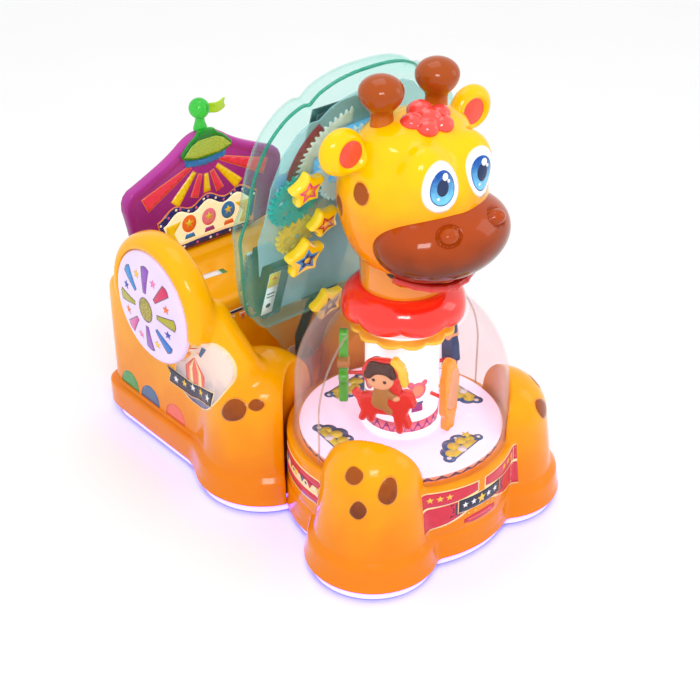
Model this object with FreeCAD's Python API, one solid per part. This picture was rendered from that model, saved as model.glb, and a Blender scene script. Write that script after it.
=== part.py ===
# Coin-operated kiddie ride: an animal head over a clear carousel dome,
# a see-through gear console, a one-child seat with a tent backrest, and
# moulded shells rocking on a welded steel base.
# Millimetres, +Z up, front of the ride towards -Y, rider's left is +X.
# Origin: floor level, centre of the overall length and width.
import FreeCAD, Part
import os
import math

V = FreeCAD.Vector

# ---- overall sizes ---------------------------------------------------------
BODY_WIDTH = 800.0       # across the middle legs and the wheel lenses
NOSE = 315.0             # dome axis to the front edge of the front hooves
TAIL = 930.0             # dome axis to the rear edge of the body
HEAD_RISE = 0.0          # extra height of neck and head over the standard

# ---- shells ----------------------------------------------------------------
WALL = 4.0               # moulded wall thickness
JOINT_GAP = 0.5          # gap between neighbouring mouldings
RIM_Z = 38.0             # lower edge of all skirts
FLANGE_Z = 112.0         # top of the thick lower skirt band
RING_R = 310.0           # front ring wall at the skirt
RING_TOP_R = 301.0       # front ring wall at its top
DECK_Z = 255.0           # top of the front ring and its deck
HOOF_R = 174.0           # front hoof at the floor
HOOF_NECK_R = 128.0      # front hoof where the round cap starts
HOOF_CAP_Z = 262.0       # height where that cap starts
LEG_R = 195.0            # middle leg at the floor
LEG_NECK_R = 152.0       # middle leg where the round cap starts
LEG_CAP_Z = 265.0        # height where that cap starts
LEG_TOP = 398.0          # top of the middle leg
LEG_Y = 330.0            # middle leg behind the dome axis
SKIRT_HALF = 357.0       # half width of the rear skirt band
SIDE_HALF = 338.0        # half width of the side wall over the band
CORNER_R = 110.0         # rear corner of the skirt in plan
BAND_STEP = 18.0         # how far the wall stands in from the band

# ---- cabin -----------------------------------------------------------------
CABIN_HALF = 250.0       # half width between the side pods
FLOOR_Z = 105.0          # foot-well floor
SEAT_Y = 552.0           # front of the seat behind the dome axis
SEAT_Z = 452.0           # seat top
DECK_BACK_Y = 818.0      # where the raised rear deck starts
REAR_DECK_Z = 470.0

# ---- wheel lenses ----------------------------------------------------------
WHEEL_Y = 571.0          # behind the dome axis
WHEEL_Z = 503.0
LENS_R = 162.0
LENS_BULGE = 22.0        # how far the middle of the lens stands proud
FENDER_R = 200.0         # crest of the arch over the wheel lens

# ---- backrest --------------------------------------------------------------
BACK_Y = 828.0           # front face behind the dome axis
BACK_T = 38.0
EAVE_HALF = 285.0
EAVE_Z = 690.0
PEAK_Z = 822.0

# ---- dome and carousel -----------------------------------------------------
DOME_R = 280.0
DOME_T = 4.0
DOME_STRAIGHT = 135.0    # height of the straight part of the dome
DISC_R = DOME_R - 12.0   # lit floor disc
DISC_T = 16.0
DRUM_R = 96.0
DRUM_T = 3.0
DRUM_H = 300.0
FIGURE_T = 24.0
FIGURE_R = 150.0         # middle of a figure from the dome axis
POST_R = 12.0            # fixed post up the middle of the carousel
SPIN_GAP = 0.05          # running clearance, radial

# ---- head ------------------------------------------------------------------
COLLAR_R = 155.0
COLLAR_Z = 600.0
NECK_R = 108.0
NECK_Z = 682.0           # where the neck leaves the collar
HEAD_X = 182.0           # half width of the skull
HEAD_Z = 940.0           # middle of the skull
HEAD_H = 202.0           # half height of the skull
HEAD_Y = -20.0           # middle of the skull behind the dome axis
HORN_X = 88.0
HORN_TOP = 1250.0
EAR_X = 178.0
EAR_Z = 1078.0

# ---- console ---------------------------------------------------------------
CASE_Y = 360.0           # seam plane of the console at its foot
CASE_Z = 500.0
CASE_LEAN = 18.26        # degrees the case leans towards the front
CASE_FRONT = 70.0        # depth of the front half of the case
CASE_REAR = 52.0         # depth of the rear half
CASE_T = 4.0
GEAR_M = 6.0             # module of the display gears
GEAR_T = 12.0
GEAR_W = -52.0           # front of the gears in the case
COLUMN_Y = 418.0
COLUMN_R = 34.0

# ---- rocking base ----------------------------------------------------------
FOOT_H = 14.0
TUBE = 30.0              # square tube of base and ride frames
TUBE_T = 2.0
BASE_RAIL_X = 150.0
RIDE_RAIL_X = 192.0
BASE_TUBE_Z = 20.0       # underside of the base rails
RIDE_TUBE_Z = 68.0       # underside of the ride rails
SHAFT_R = 10.0           # pivot shaft
CRANK_Y = 650.0          # crank axis behind the dome axis
CRANK_Z = 112.0
CRANK_E = 10.0           # crank throw
ROD_L = 160.0
SKIRT_INSET = 14.0       # light skirt inside the body's skirt
SKIRT_T = 3.0

# ---- values that follow ----------------------------------------------------
YD = (NOSE - TAIL) / 2.0           # dome axis in the model
HOOF_X = BODY_WIDTH / 2.0 - HOOF_R
HOOF_Y = HOOF_R - NOSE
LEG_X = BODY_WIDTH / 2.0 - LEG_R
PIVOT_Y = -YD                      # pivot under the middle, from the dome axis
PIVOT_Z = RIDE_TUBE_Z + TUBE / 2.0
LENS_X = BODY_WIDTH / 2.0 - LENS_BULGE
DOME_BALL_Z = DECK_Z + DOME_STRAIGHT
DISC_Z = DECK_Z + 4.0
DISC_TOP = DISC_Z + DISC_T
DRUM_Z = DISC_TOP + 2.0

NODES = {}


def put(name, shape):
    """Keep one finished piece under its own name."""
    NODES[name] = shape


def box(x0, x1, y0, y1, z0, z1):
    return Part.makeBox(x1 - x0, y1 - y0, z1 - z0, V(x0, YD + y0, z0))


def cyl(x, y, z, r, h, d=(0, 0, 1)):
    return Part.makeCylinder(r, h, V(x, YD + y, z), V(*d))


def cone(x, y, z, r0, r1, h, d=(0, 0, 1)):
    return Part.makeCone(r0, r1, h, V(x, YD + y, z), V(*d))


def fuse(*shapes):
    out = shapes[0]
    for s in shapes[1:]:
        out = out.fuse(s)
    return out.removeSplitter()


def group(*shapes):
    return Part.makeCompound(list(shapes))


def prism_yz(points, x0, x1):
    """Side profile in (Y, Z), drawn out along X."""
    pts = [V(x0, YD + y, z) for y, z in points]
    face = Part.Face(Part.makePolygon(pts + [pts[0]]))
    return face.extrude(V(x1 - x0, 0, 0))


def prism_xy(points, z0, z1):
    pts = [V(x, YD + y, z0) for x, y in points]
    face = Part.Face(Part.makePolygon(pts + [pts[0]]))
    return face.extrude(V(0, 0, z1 - z0))


def prism_xz(points, y0, y1):
    pts = [V(x, YD + y0, z) for x, z in points]
    face = Part.Face(Part.makePolygon(pts + [pts[0]]))
    return face.extrude(V(0, y1 - y0, 0))


def turned(points, x, y, axis=(0, 0, 1), base=None):
    """Solid of revolution; points are (radius, along) from the axis foot."""
    ax = V(*axis)
    side = V(1, 0, 0) if abs(ax.x) < 0.5 else V(0, 0, 1)
    foot = V(x, YD + y, 0) if base is None else base
    pts = [foot + side * r + ax * a for r, a in points]
    face = Part.Face(Part.makePolygon(pts + [pts[0]]))
    return face.revolve(foot, ax, 360)


def arc_points(cr, ca, rr, ra, a0, a1, n):
    """Points on a quarter or half ellipse in (radius, along)."""
    out = []
    for i in range(n + 1):
        a = math.radians(a0 + (a1 - a0) * i / n)
        out.append((cr + rr * math.cos(a), ca + ra * math.sin(a)))
    return out


def ellipsoid(x, y, z, rx, ry, rz):
    ball = Part.makeSphere(1.0)
    m = FreeCAD.Matrix()
    m.scale(rx, ry, rz)
    m.move(V(x, YD + y, z))
    return ball.transformGeometry(m)


def mirrored(shape):
    return shape.mirror(V(0, 0, 0), V(1, 0, 0))


def hoof_profile(r0, r1, cap_z, top, t, low):
    """Turned section of a hoof or leg, thinned by t, from height low."""
    step = r0 - 24.0
    pts = [(0, low), (r0 - t, low), (r0 - t, RIM_Z + 16.0 - t),
           (r0 - 6.0 - t, FLANGE_Z - 26.0 - t), (step - t, FLANGE_Z - t),
           (r1 - t, cap_z)]
    pts += arc_points(0, cap_z, r1 - t, top - cap_z - t, 0, 90, 8)[1:]
    return pts


# ============================================================================
# Rocking base: everything that stands still on the floor
# ============================================================================
RAIL_Y0, RAIL_Y1 = -150.0, TAIL - 110.0
rail_z0, rail_z1 = BASE_TUBE_Z, BASE_TUBE_Z + TUBE


def tube_y(x, y0, y1, z0):
    h = TUBE / 2.0
    return box(x - h, x + h, y0, y1, z0, z0 + TUBE).cut(
        box(x - h + TUBE_T, x + h - TUBE_T, y0 - 1, y1 + 1,
            z0 + TUBE_T, z0 + TUBE - TUBE_T))


def tube_x(y, x0, x1, z0):
    h = TUBE / 2.0
    return box(x0, x1, y - h, y + h, z0, z0 + TUBE).cut(
        box(x0 - 1, x1 + 1, y - h + TUBE_T, y + h - TUBE_T,
            z0 + TUBE_T, z0 + TUBE - TUBE_T))


inner = BASE_RAIL_X - TUBE / 2.0
cross_ys = (RAIL_Y0 + 40.0, PIVOT_Y, CRANK_Y, RAIL_Y1 - 40.0)
put("base_frame", group(
    tube_y(-BASE_RAIL_X, RAIL_Y0, RAIL_Y1, rail_z0),
    tube_y(BASE_RAIL_X, RAIL_Y0, RAIL_Y1, rail_z0),
    *[tube_x(y, -inner, inner, rail_z0) for y in cross_ys]))


def plan(inset, z0, z1):
    """Plan outline of the whole body, set in by one amount."""
    h = z1 - z0
    parts = [cyl(0, 0, z0, RING_R - inset, h)]
    for s in (-1, 1):
        parts.append(cyl(s * HOOF_X, HOOF_Y, z0, HOOF_R - inset, h))
        parts.append(cyl(s * LEG_X, LEG_Y, z0, LEG_R - inset, h))
    rear = box(-SKIRT_HALF + inset, SKIRT_HALF - inset,
               LEG_Y, TAIL - inset, z0, z1)
    corners = [e for e in rear.Edges
               if abs(e.BoundBox.ZLength - h) < 1e-6
               and e.BoundBox.YMin > YD + TAIL - inset - 1.0]
    parts.append(rear.makeFillet(CORNER_R - inset, corners))
    parts.append(box(-LEG_X, LEG_X, RING_R / 2.0, LEG_Y + 60.0, z0, z1))
    return fuse(*parts)


# passages through the hidden inner walls of the shells
BAY_X = RIDE_RAIL_X + TUBE / 2.0 + 12.0
BAY_TOP = FLOOR_Z - WALL - 0.5
bay = box(-BAY_X, BAY_X, -240.0, TAIL - 45.0, 0.0, BAY_TOP)
skirt_way = plan(WALL + 2.5, 0.0, RIM_Z + 44.0).cut(
    plan(SKIRT_INSET + SKIRT_T + 9.0, -1.0, RIM_Z + 45.0))


PAN_Z = rail_z0 - 4.0
put("base_pan", plan(SKIRT_INSET + SKIRT_T + 1.0, PAN_Z, rail_z0 - JOINT_GAP))
put("light_skirt", plan(SKIRT_INSET, PAN_Z - 6.0, RIM_Z + 22.0).cut(
    plan(SKIRT_INSET + SKIRT_T, PAN_Z - 7.0, RIM_Z + 23.0)))
feet = []
for fx in (-1, 1):
    for fy in (RAIL_Y0 + 40.0, RAIL_Y1 - 40.0):
        feet.append(fuse(cone(fx * BASE_RAIL_X, fy, 0, 30.0, 24.0, 8.0),
                         cyl(fx * BASE_RAIL_X, fy, 8.0, 8.0, PAN_Z - 8.0)))
put("levelling_feet", group(*feet))

blocks = []
for s in (-1, 1):
    x0 = s * BASE_RAIL_X - 11.0
    body = fuse(box(x0, x0 + 22.0, PIVOT_Y - 38.0, PIVOT_Y + 38.0,
                    rail_z1, rail_z1 + 10.0),
                box(x0, x0 + 22.0, PIVOT_Y - 16.0, PIVOT_Y + 16.0,
                    rail_z1 + 10.0, PIVOT_Z),
                cyl(x0, PIVOT_Y, PIVOT_Z, 16.0, 22.0, (1, 0, 0)))
    blocks.append(body.cut(cyl(x0 - 1, PIVOT_Y, PIVOT_Z, SHAFT_R + SPIN_GAP,
                               24.0, (1, 0, 0))))
put("pivot_bearings", group(*blocks))

put("drive_motor", fuse(
    box(-40.0, 14.0, CRANK_Y - 45.0, CRANK_Y + 45.0, rail_z1, CRANK_Z + 40.0),
    cyl(-40.0, CRANK_Y, CRANK_Z, 32.0, 90.0, (-1, 0, 0)),
    cyl(-130.0, CRANK_Y, CRANK_Z, 34.0, 18.0, (-1, 0, 0))).cut(
    cyl(-10.0, CRANK_Y, CRANK_Z, 9.0 + SPIN_GAP, 40.0, (1, 0, 0))))
put("power_supply", box(-90.0, 60.0, CRANK_Y - 190.0, CRANK_Y - 90.0,
                        rail_z0, rail_z0 + 44.0))

# ============================================================================
# Crank and connecting rod
# ============================================================================
put("crank", fuse(
    cyl(-8.0, CRANK_Y, CRANK_Z, 9.0, 28.0, (1, 0, 0)),
    cyl(20.0, CRANK_Y, CRANK_Z, 34.0, 10.0, (1, 0, 0)),
    cyl(30.0, CRANK_Y, CRANK_Z + CRANK_E, 7.0, 18.0, (1, 0, 0))))
rod_top = CRANK_Z + CRANK_E + ROD_L
ROD_EYE = 31.0           # wide open upper eye
PIN_Z = rod_top - CRANK_E  # bracket pin, level with the middle of the stroke
rod = fuse(cyl(31.0, CRANK_Y, CRANK_Z + CRANK_E, 17.0, 14.0, (1, 0, 0)),
           box(33.0, 43.0, CRANK_Y - 8.0, CRANK_Y + 8.0,
               CRANK_Z + CRANK_E, rod_top - ROD_EYE),
           cyl(31.0, CRANK_Y, rod_top, ROD_EYE + 8.0, 14.0, (1, 0, 0)))
rod = rod.cut(cyl(30.0, CRANK_Y, CRANK_Z + CRANK_E, 7.0 + SPIN_GAP, 16.0,
                  (1, 0, 0)))
put("connecting_rod", rod.cut(cyl(30.0, CRANK_Y, rod_top, ROD_EYE, 16.0,
                                  (1, 0, 0))))

# ============================================================================
# Ride frame: the steel that carries the shells
# ============================================================================
rz0, rz1 = RIDE_TUBE_Z, RIDE_TUBE_Z + TUBE
r_in = RIDE_RAIL_X - TUBE / 2.0
post_z1 = rod_top + 60.0
uprights = []
for s in (-1, 1):
    x = s * RIDE_RAIL_X
    uprights.append(box(x - 15.0, x + 15.0, CRANK_Y - 15.0, CRANK_Y + 15.0,
                        rz1, post_z1).cut(
        box(x - 13.0, x + 13.0, CRANK_Y - 13.0, CRANK_Y + 13.0,
            rz1 - 1, post_z1 + 1)))
rails = []
for s in (-1, 1):
    rail = tube_y(s * RIDE_RAIL_X, -120.0, TAIL - 60.0, rz0)
    rails.append(rail.cut(cyl(s * RIDE_RAIL_X - 20.0, PIVOT_Y, PIVOT_Z,
                              SHAFT_R, 40.0, (1, 0, 0))))
put("ride_frame", group(
    *rails, *uprights,
    tube_x(CRANK_Y, -RIDE_RAIL_X - 15.0, RIDE_RAIL_X + 15.0, post_z1),
    tube_x(max(COLUMN_Y, PIVOT_Y + 70.0), -r_in, r_in, rz0),
    tube_x(-40.0, -r_in, r_in, rz0)))
put("rod_bracket", fuse(
    box(16.0, 24.0, CRANK_Y - 14.0, CRANK_Y + 14.0, PIN_Z - 14.0, post_z1),
    box(52.0, 60.0, CRANK_Y - 14.0, CRANK_Y + 14.0, PIN_Z - 14.0, post_z1),
    box(16.0, 60.0, CRANK_Y - 14.0, CRANK_Y + 14.0, post_z1 - 4.0, post_z1)
    ).cut(box(30.0, 46.0, CRANK_Y - 20.0, CRANK_Y + 20.0,
              rod_top - 60.0, post_z1 - 3.9)))
NODES["rod_bracket"] = fuse(NODES["rod_bracket"], cyl(
    14.0, CRANK_Y, PIN_Z, 8.0, 48.0, (1, 0, 0)))
put("pivot_shaft", cyl(-RIDE_RAIL_X - 20.0, PIVOT_Y, PIVOT_Z, SHAFT_R,
                       2 * RIDE_RAIL_X + 40.0, (1, 0, 0)))

# ============================================================================
# Front platform: ring wall, deck and the two front hooves in one moulding
# ============================================================================


def front_body(t, low):
    ring = turned([(0, low), (RING_R - t, low), (RING_R - t, FLANGE_Z - 30.0),
                   (RING_R - 8.0 - t, FLANGE_Z - t),
                   (RING_TOP_R - t, DECK_Z - t), (0, DECK_Z - t)], 0, 0)
    parts = [ring]
    for s in (-1, 1):
        parts.append(turned(hoof_profile(HOOF_R, HOOF_NECK_R, HOOF_CAP_Z,
                                         HOOF_CAP_Z + HOOF_NECK_R, t, low),
                            s * HOOF_X, HOOF_Y))
    return fuse(*parts)


SEAT_GROOVE = DOME_R + 1.0
front_outer = front_body(0, RIM_Z).cut(
    cyl(0, 0, DECK_Z, SEAT_GROOVE, 400.0))
front_inner = front_body(WALL, RIM_Z - 10.0).cut(
    cyl(0, 0, DECK_Z - WALL, SEAT_GROOVE + WALL, 400.0))
front = front_outer.cut(front_inner)
front = front.cut(bay).cut(skirt_way)
put("front_platform", front.cut(cyl(0, 0, DECK_Z - 10.0, 62.0, 20.0)))

# ============================================================================
# Side pods: middle leg, sill, wheel arch and rear skirt in one moulding each
# ============================================================================


def leg_body(t, low):
    return turned(hoof_profile(LEG_R, LEG_NECK_R, LEG_CAP_Z, LEG_TOP, t, low),
                  LEG_X, LEG_Y)


def plan_corner(x1, y1, r, z0, z1, t):
    """Slab from the cabin side to x1, rear outer corner rounded."""
    slab = box(CABIN_HALF + t, x1, LEG_Y - 60.0, y1, z0, z1)
    edge = [e for e in slab.Edges
            if abs(e.BoundBox.ZLength - (z1 - z0)) < 1e-6
            and e.BoundBox.XMin > x1 - 1.0
            and e.BoundBox.YMin > YD + y1 - 1.0]
    return slab.makeFillet(r, edge)


def pod_body(t, low):
    wall_y = TAIL - BAND_STEP
    half = SIDE_HALF - CABIN_HALF
    corner = min(CORNER_R - BAND_STEP, half - 2.5 * WALL)
    band = plan_corner(SKIRT_HALF - t, TAIL - t, min(CORNER_R, half) - t,
                       low, FLANGE_Z - t, t)
    side = prism_yz([
        (LEG_Y - 40.0, low), (wall_y - t, low),
        (wall_y - t, REAR_DECK_Z - 62.0), (wall_y - 26.0, REAR_DECK_Z - t),
        (WHEEL_Y + 230.0, REAR_DECK_Z + 12.0 - t),
        (WHEEL_Y + 176.0 - t, WHEEL_Z + 80.0),
        (WHEEL_Y, WHEEL_Z + 120.0 - 1.6 * t),
        (WHEEL_Y - 165.0 + t, WHEEL_Z + 10.0 - t),
        (WHEEL_Y - 215.0, WHEEL_Z - 48.0 - t),
        (LEG_Y - 20.0, LEG_TOP - 14.0 - t),
        (LEG_Y - 40.0, LEG_TOP - 40.0)], CABIN_HALF + t, SIDE_HALF - t)
    side = side.common(plan_corner(SIDE_HALF - t, wall_y - t, corner - t,
                                   low, PEAK_Z, t))
    a0 = CABIN_HALF + 14.0 + t
    ring = [(0, a0), (FENDER_R - 26.0, a0), (FENDER_R - 7.0 - t, a0 + 16.0),
            (FENDER_R - 1.0 - t, a0 + 38.0), (FENDER_R - t, a0 + 66.0),
            (FENDER_R - 4.0 - t, LENS_X - 20.0),
            (FENDER_R - 14.0 - t, LENS_X - t), (0, LENS_X - t)]
    arch = turned(ring, 0, 0, (1, 0, 0), V(0, YD + WHEEL_Y, WHEEL_Z))
    arch = arch.common(box(0, BODY_WIDTH, WHEEL_Y - 300.0, WHEEL_Y + 300.0,
                           WHEEL_Z - 30.0 + t, WHEEL_Z + 300.0))
    hub = cyl(CABIN_HALF + 20.0, WHEEL_Y, WHEEL_Z, LENS_R - 2.0 - t,
              LENS_X - CABIN_HALF - 20.0 - t, (1, 0, 0))
    return fuse(band, side, arch, hub, leg_body(t, low))


ring_cutter = cyl(0, 0, 0, RING_R + JOINT_GAP, 700.0)
pod_outer = pod_body(0, RIM_Z).cut(ring_cutter).cut(
    cyl(LENS_X - 6.0, WHEEL_Y, WHEEL_Z, LENS_R + JOINT_GAP, 60.0, (1, 0, 0)))
pod_inner = pod_body(WALL, RIM_Z - 10.0).cut(
    cyl(0, 0, 0, RING_R + JOINT_GAP + WALL, 700.0)).cut(
    cyl(LENS_X - 6.0 - WALL, WHEEL_Y, WHEEL_Z, LENS_R + JOINT_GAP + WALL,
        60.0, (1, 0, 0)))
pod = pod_outer.cut(pod_inner).cut(bay).cut(skirt_way)
put("side_pod_left", pod)
put("side_pod_right", mirrored(pod))

LENS_T = 3.0
CAP_R = 26.0             # flat medallion in the middle of the lens


def lens_curve(back, rim):
    """Bulged face of the lens, from the medallion out to the rim."""
    ball = (LENS_R ** 2 + LENS_BULGE ** 2) / (2 * LENS_BULGE)
    out = []
    for i in range(13):
        r = CAP_R + (rim - CAP_R) * i / 12.0
        drop = ball - math.sqrt(ball ** 2 - r ** 2)
        out.append((r, BODY_WIDTH / 2.0 - back - drop))
    return out


lens_pts = ([(0, BODY_WIDTH / 2.0), (CAP_R, BODY_WIDTH / 2.0)]
            + lens_curve(0, LENS_R) + [(LENS_R, LENS_X - 6.0),
                                       (LENS_R - LENS_T, LENS_X - 6.0)]
            + lens_curve(LENS_T + 0.5, LENS_R - LENS_T)[::-1]
            + [(0, BODY_WIDTH / 2.0 - LENS_T - 3.5)])
lens = turned(lens_pts, 0, 0, (1, 0, 0), V(0, YD + WHEEL_Y, WHEEL_Z))
put("wheel_lens_left", lens)
put("wheel_lens_right", mirrored(lens))

# ============================================================================
# Cabin tub: foot-well floor, seat, rear deck and back wall in one moulding
# ============================================================================


def tub_body(t, low):
    h = CABIN_HALF - JOINT_GAP - t
    wall_y = TAIL - BAND_STEP
    prof = [(0, low), (wall_y - t, low), (wall_y - t, REAR_DECK_Z - 40.0),
            (wall_y - 22.0, REAR_DECK_Z - t),
            (DECK_BACK_Y + 12.0 + t, REAR_DECK_Z - t),
            (DECK_BACK_Y + t, SEAT_Z - t), (SEAT_Y + 14.0 + t, SEAT_Z - t),
            (SEAT_Y + t, SEAT_Z - 14.0 - t), (SEAT_Y - 8.0 + t, FLOOR_Z - t),
            (0, FLOOR_Z - t)]
    return fuse(prism_yz(prof, -h, h),
                box(-h, h, wall_y - 60.0, TAIL - t, low, FLANGE_Z - t))


leg_cut = turned(hoof_profile(LEG_R, LEG_NECK_R, LEG_CAP_Z, LEG_TOP,
                              -JOINT_GAP, 0.0), LEG_X, LEG_Y)
leg_cut_in = turned(hoof_profile(LEG_R, LEG_NECK_R, LEG_CAP_Z, LEG_TOP,
                                 -JOINT_GAP - WALL, 0.0), LEG_X, LEG_Y)
tub = tub_body(0, RIM_Z).cut(ring_cutter).cut(leg_cut).cut(
    mirrored(leg_cut))
tub = tub.cut(tub_body(WALL, RIM_Z - 10.0).cut(
    cyl(0, 0, 0, RING_R + JOINT_GAP + WALL, 700.0)).cut(leg_cut_in).cut(
    mirrored(leg_cut_in)))

# cash door opening and power panel opening in the back wall
WALL_Y = TAIL - BAND_STEP
DOOR_X0, DOOR_X1 = -160.0, -20.0
DOOR_Z0, DOOR_Z1 = 210.0, 330.0
DOOR_GAP = 1.5
tub = tub.cut(box(DOOR_X0, DOOR_X1, WALL_Y - 20.0, WALL_Y + 20.0,
                  DOOR_Z0, DOOR_Z1))
PANEL_X0, PANEL_X1 = 60.0, 150.0
PANEL_Z0, PANEL_Z1 = 170.0, 230.0
tub = tub.cut(box(PANEL_X0 + 6.0, PANEL_X1 - 6.0, WALL_Y - 20.0,
                  WALL_Y + 20.0, PANEL_Z0 + 6.0, PANEL_Z1 - 6.0))
MAST_R = 14.0            # bent steel post under the console
tub = tub.cut(cyl(0, COLUMN_Y, 50.0, MAST_R + JOINT_GAP, 100.0))
put("cabin_tub", tub.cut(bay).cut(skirt_way))

# cash door with cam lock
HINGE_X = DOOR_X0 + 4.0
HINGE_Y = WALL_Y + 2.0
door = box(DOOR_X0 + DOOR_GAP, DOOR_X1 - DOOR_GAP, WALL_Y - WALL, WALL_Y,
           DOOR_Z0 + DOOR_GAP, DOOR_Z1 - DOOR_GAP)
LOCK_X, LOCK_Z = DOOR_X1 - 26.0, (DOOR_Z0 + DOOR_Z1) / 2.0
door = door.cut(cyl(LOCK_X, WALL_Y - 20.0, LOCK_Z, 9.0 + SPIN_GAP, 40.0,
                    (0, 1, 0)))
door = fuse(door, cyl(HINGE_X, HINGE_Y, DOOR_Z0 + 4.0, 3.0,
                      DOOR_Z1 - DOOR_Z0 - 8.0))
put("cash_door", door)
put("door_lock", fuse(
    cyl(LOCK_X, WALL_Y - 14.0, LOCK_Z, 9.0, 15.0, (0, 1, 0)),
    cyl(LOCK_X, WALL_Y + 1.0, LOCK_Z, 12.0, 2.5, (0, 1, 0)),
    box(LOCK_X - 7.0, LOCK_X + 7.0, WALL_Y - 14.0, WALL_Y - 11.0,
        LOCK_Z - 32.0, LOCK_Z + 7.0)).cut(
    box(LOCK_X - 1.0, LOCK_X + 1.0, WALL_Y + 2.0, WALL_Y + 8.0,
        LOCK_Z - 6.0, LOCK_Z + 6.0)))

# mains panel: plate with inlet and rocker switch
panel = box(PANEL_X0, PANEL_X1, WALL_Y, WALL_Y + 2.0, PANEL_Z0, PANEL_Z1)
PZ = (PANEL_Z0 + PANEL_Z1) / 2.0
SW_X = PANEL_X1 - 22.0
IN_X = PANEL_X0 + 34.0
panel = panel.cut(box(SW_X - 8.0, SW_X + 8.0, WALL_Y - 1, WALL_Y + 3.0,
                      PZ - 12.0, PZ + 12.0))
panel = panel.cut(box(IN_X - 17.0, IN_X + 17.0, WALL_Y - 1, WALL_Y + 3.0,
                      PZ - 14.0, PZ + 14.0))
inlet = box(IN_X - 17.0, IN_X + 17.0, WALL_Y - 18.0, WALL_Y + 3.0,
            PZ - 14.0, PZ + 14.0).cut(
    box(IN_X - 12.0, IN_X + 12.0, WALL_Y - 14.0, WALL_Y + 4.0,
        PZ - 8.5, PZ + 8.5))
pins = [cyl(IN_X + dx, WALL_Y - 14.0, PZ + dz, 2.0, 12.0, (0, 1, 0))
        for dx, dz in ((-7.0, -3.0), (0, 3.0), (7.0, -3.0))]
PIN_Y = WALL_Y - 3.0     # rocker pivot
housing = box(SW_X - 10.5, SW_X + 10.5, WALL_Y - 18.0, WALL_Y,
              PZ - 15.0, PZ + 15.0).cut(
    box(SW_X - 8.0, SW_X + 8.0, WALL_Y - 15.0, WALL_Y + 3.0,
        PZ - 12.6, PZ + 12.6))
panel = panel.cut(box(SW_X - 8.0, SW_X + 8.0, WALL_Y - 1, WALL_Y + 3.0,
                      PZ - 12.6, PZ + 12.6))
put("power_panel", fuse(panel, housing, inlet, *pins, cyl(
    SW_X - 9.0, PIN_Y, PZ, 1.2, 18.0, (1, 0, 0))))
ROCK_GAP = 0.6
rocker = prism_yz([(WALL_Y - 8.0, PZ - 5.0), (WALL_Y + 2.4, PZ - 11.0),
                   (WALL_Y + 1.2, PZ), (WALL_Y + 2.4, PZ + 11.0),
                   (WALL_Y - 8.0, PZ + 5.0)],
                  SW_X - 8.0 + ROCK_GAP, SW_X + 8.0 - ROCK_GAP)
put("power_switch", rocker.cut(cyl(SW_X - 9.0, PIN_Y, PZ, 1.2 + SPIN_GAP,
                                   18.0, (1, 0, 0))))

# ============================================================================
# Tent backrest
# ============================================================================
BASE_HALF = CABIN_HALF - 2.0


def tent(inset, y0, y1):
    """Tent outline: upright sides, eaves, sagging roof up to the peak."""
    i = inset
    side = [(BASE_HALF - i, REAR_DECK_Z + 0.5 + i),
            (BASE_HALF + 12.0 - i, REAR_DECK_Z + 110.0),
            (EAVE_HALF - i, EAVE_Z - i * 0.6),
            (EAVE_HALF * 0.70 - i, EAVE_Z + 36.0 - i),
            (EAVE_HALF * 0.35, PEAK_Z - 56.0 - i),
            (34.0, PEAK_Z - i)]
    pts = side + [(-x, z) for x, z in reversed(side)]
    return prism_xz(pts, y0, y1)


frame = tent(0, BACK_Y, BACK_Y + BACK_T).cut(
    tent(22.0, BACK_Y - 1, BACK_Y + 4.0))
frame = frame.cut(tent(WALL, BACK_Y + 4.0 + WALL, BACK_Y + BACK_T - WALL))
put("backrest_frame", frame.cut(
    box(-BASE_HALF + 2 * WALL, BASE_HALF - 2 * WALL, BACK_Y + 4.0 + WALL,
        BACK_Y + BACK_T - WALL, REAR_DECK_Z - 5.0, REAR_DECK_Z + 20.0)))
put("backrest_panel", tent(22.5, BACK_Y + 0.5, BACK_Y + 4.0))
CAP_Z = PEAK_Z - 50.0
put("backrest_cap", prism_xz(
    [(-78.0, CAP_Z - 42.0), (78.0, CAP_Z - 42.0), (66.0, CAP_Z + 12.0),
     (30.0, CAP_Z + 56.0), (-30.0, CAP_Z + 56.0), (-66.0, CAP_Z + 12.0)],
    BACK_Y - 8.0, BACK_Y - 0.3))
FIN_Z = PEAK_Z + 62.0
finial = fuse(
    cone(0, BACK_Y + BACK_T / 2.0, PEAK_Z + 0.3, 18.5, 12.0, 34.0),
    Part.makeSphere(30.0, V(0, YD + BACK_Y + BACK_T / 2.0, FIN_Z)))
flag = box(29.0, 96.0, BACK_Y + BACK_T / 2.0 - 2.0,
                BACK_Y + BACK_T / 2.0 + 2.0, FIN_Z - 22.0, FIN_Z + 12.0).cut(
    Part.makeSphere(29.8, V(0, YD + BACK_Y + BACK_T / 2.0, FIN_Z)))
put("finial", fuse(finial, flag))

# ============================================================================
# Clear dome, lit floor and carousel
# ============================================================================


def dome_body(t, z0):
    r = DOME_R - t
    neck = math.sqrt(max(r ** 2 - (COLLAR_Z + 14.0 - DOME_BALL_Z) ** 2, 1.0))
    pts = [(0, z0), (r, z0), (r, DOME_BALL_Z)]
    top = math.degrees(math.asin((COLLAR_Z + 14.0 - DOME_BALL_Z) / r))
    pts += arc_points(0, DOME_BALL_Z, r, r, 0, top, 12)[1:]
    pts += [(neck, COLLAR_Z + 14.0), (0, COLLAR_Z + 14.0)]
    clean = [pts[0]]
    for p in pts[1:]:
        if math.hypot(p[0] - clean[-1][0], p[1] - clean[-1][1]) > 1e-6:
            clean.append(p)
    return turned(clean, 0, 0)


DOME_FOOT = DECK_Z + 0.5
dome = dome_body(0, DOME_FOOT).cut(dome_body(DOME_T, DOME_FOOT - 1.0))
dome = dome.cut(cyl(0, 0, COLLAR_Z - 40.0, 150.0, 120.0))
put("dome", dome)

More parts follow.
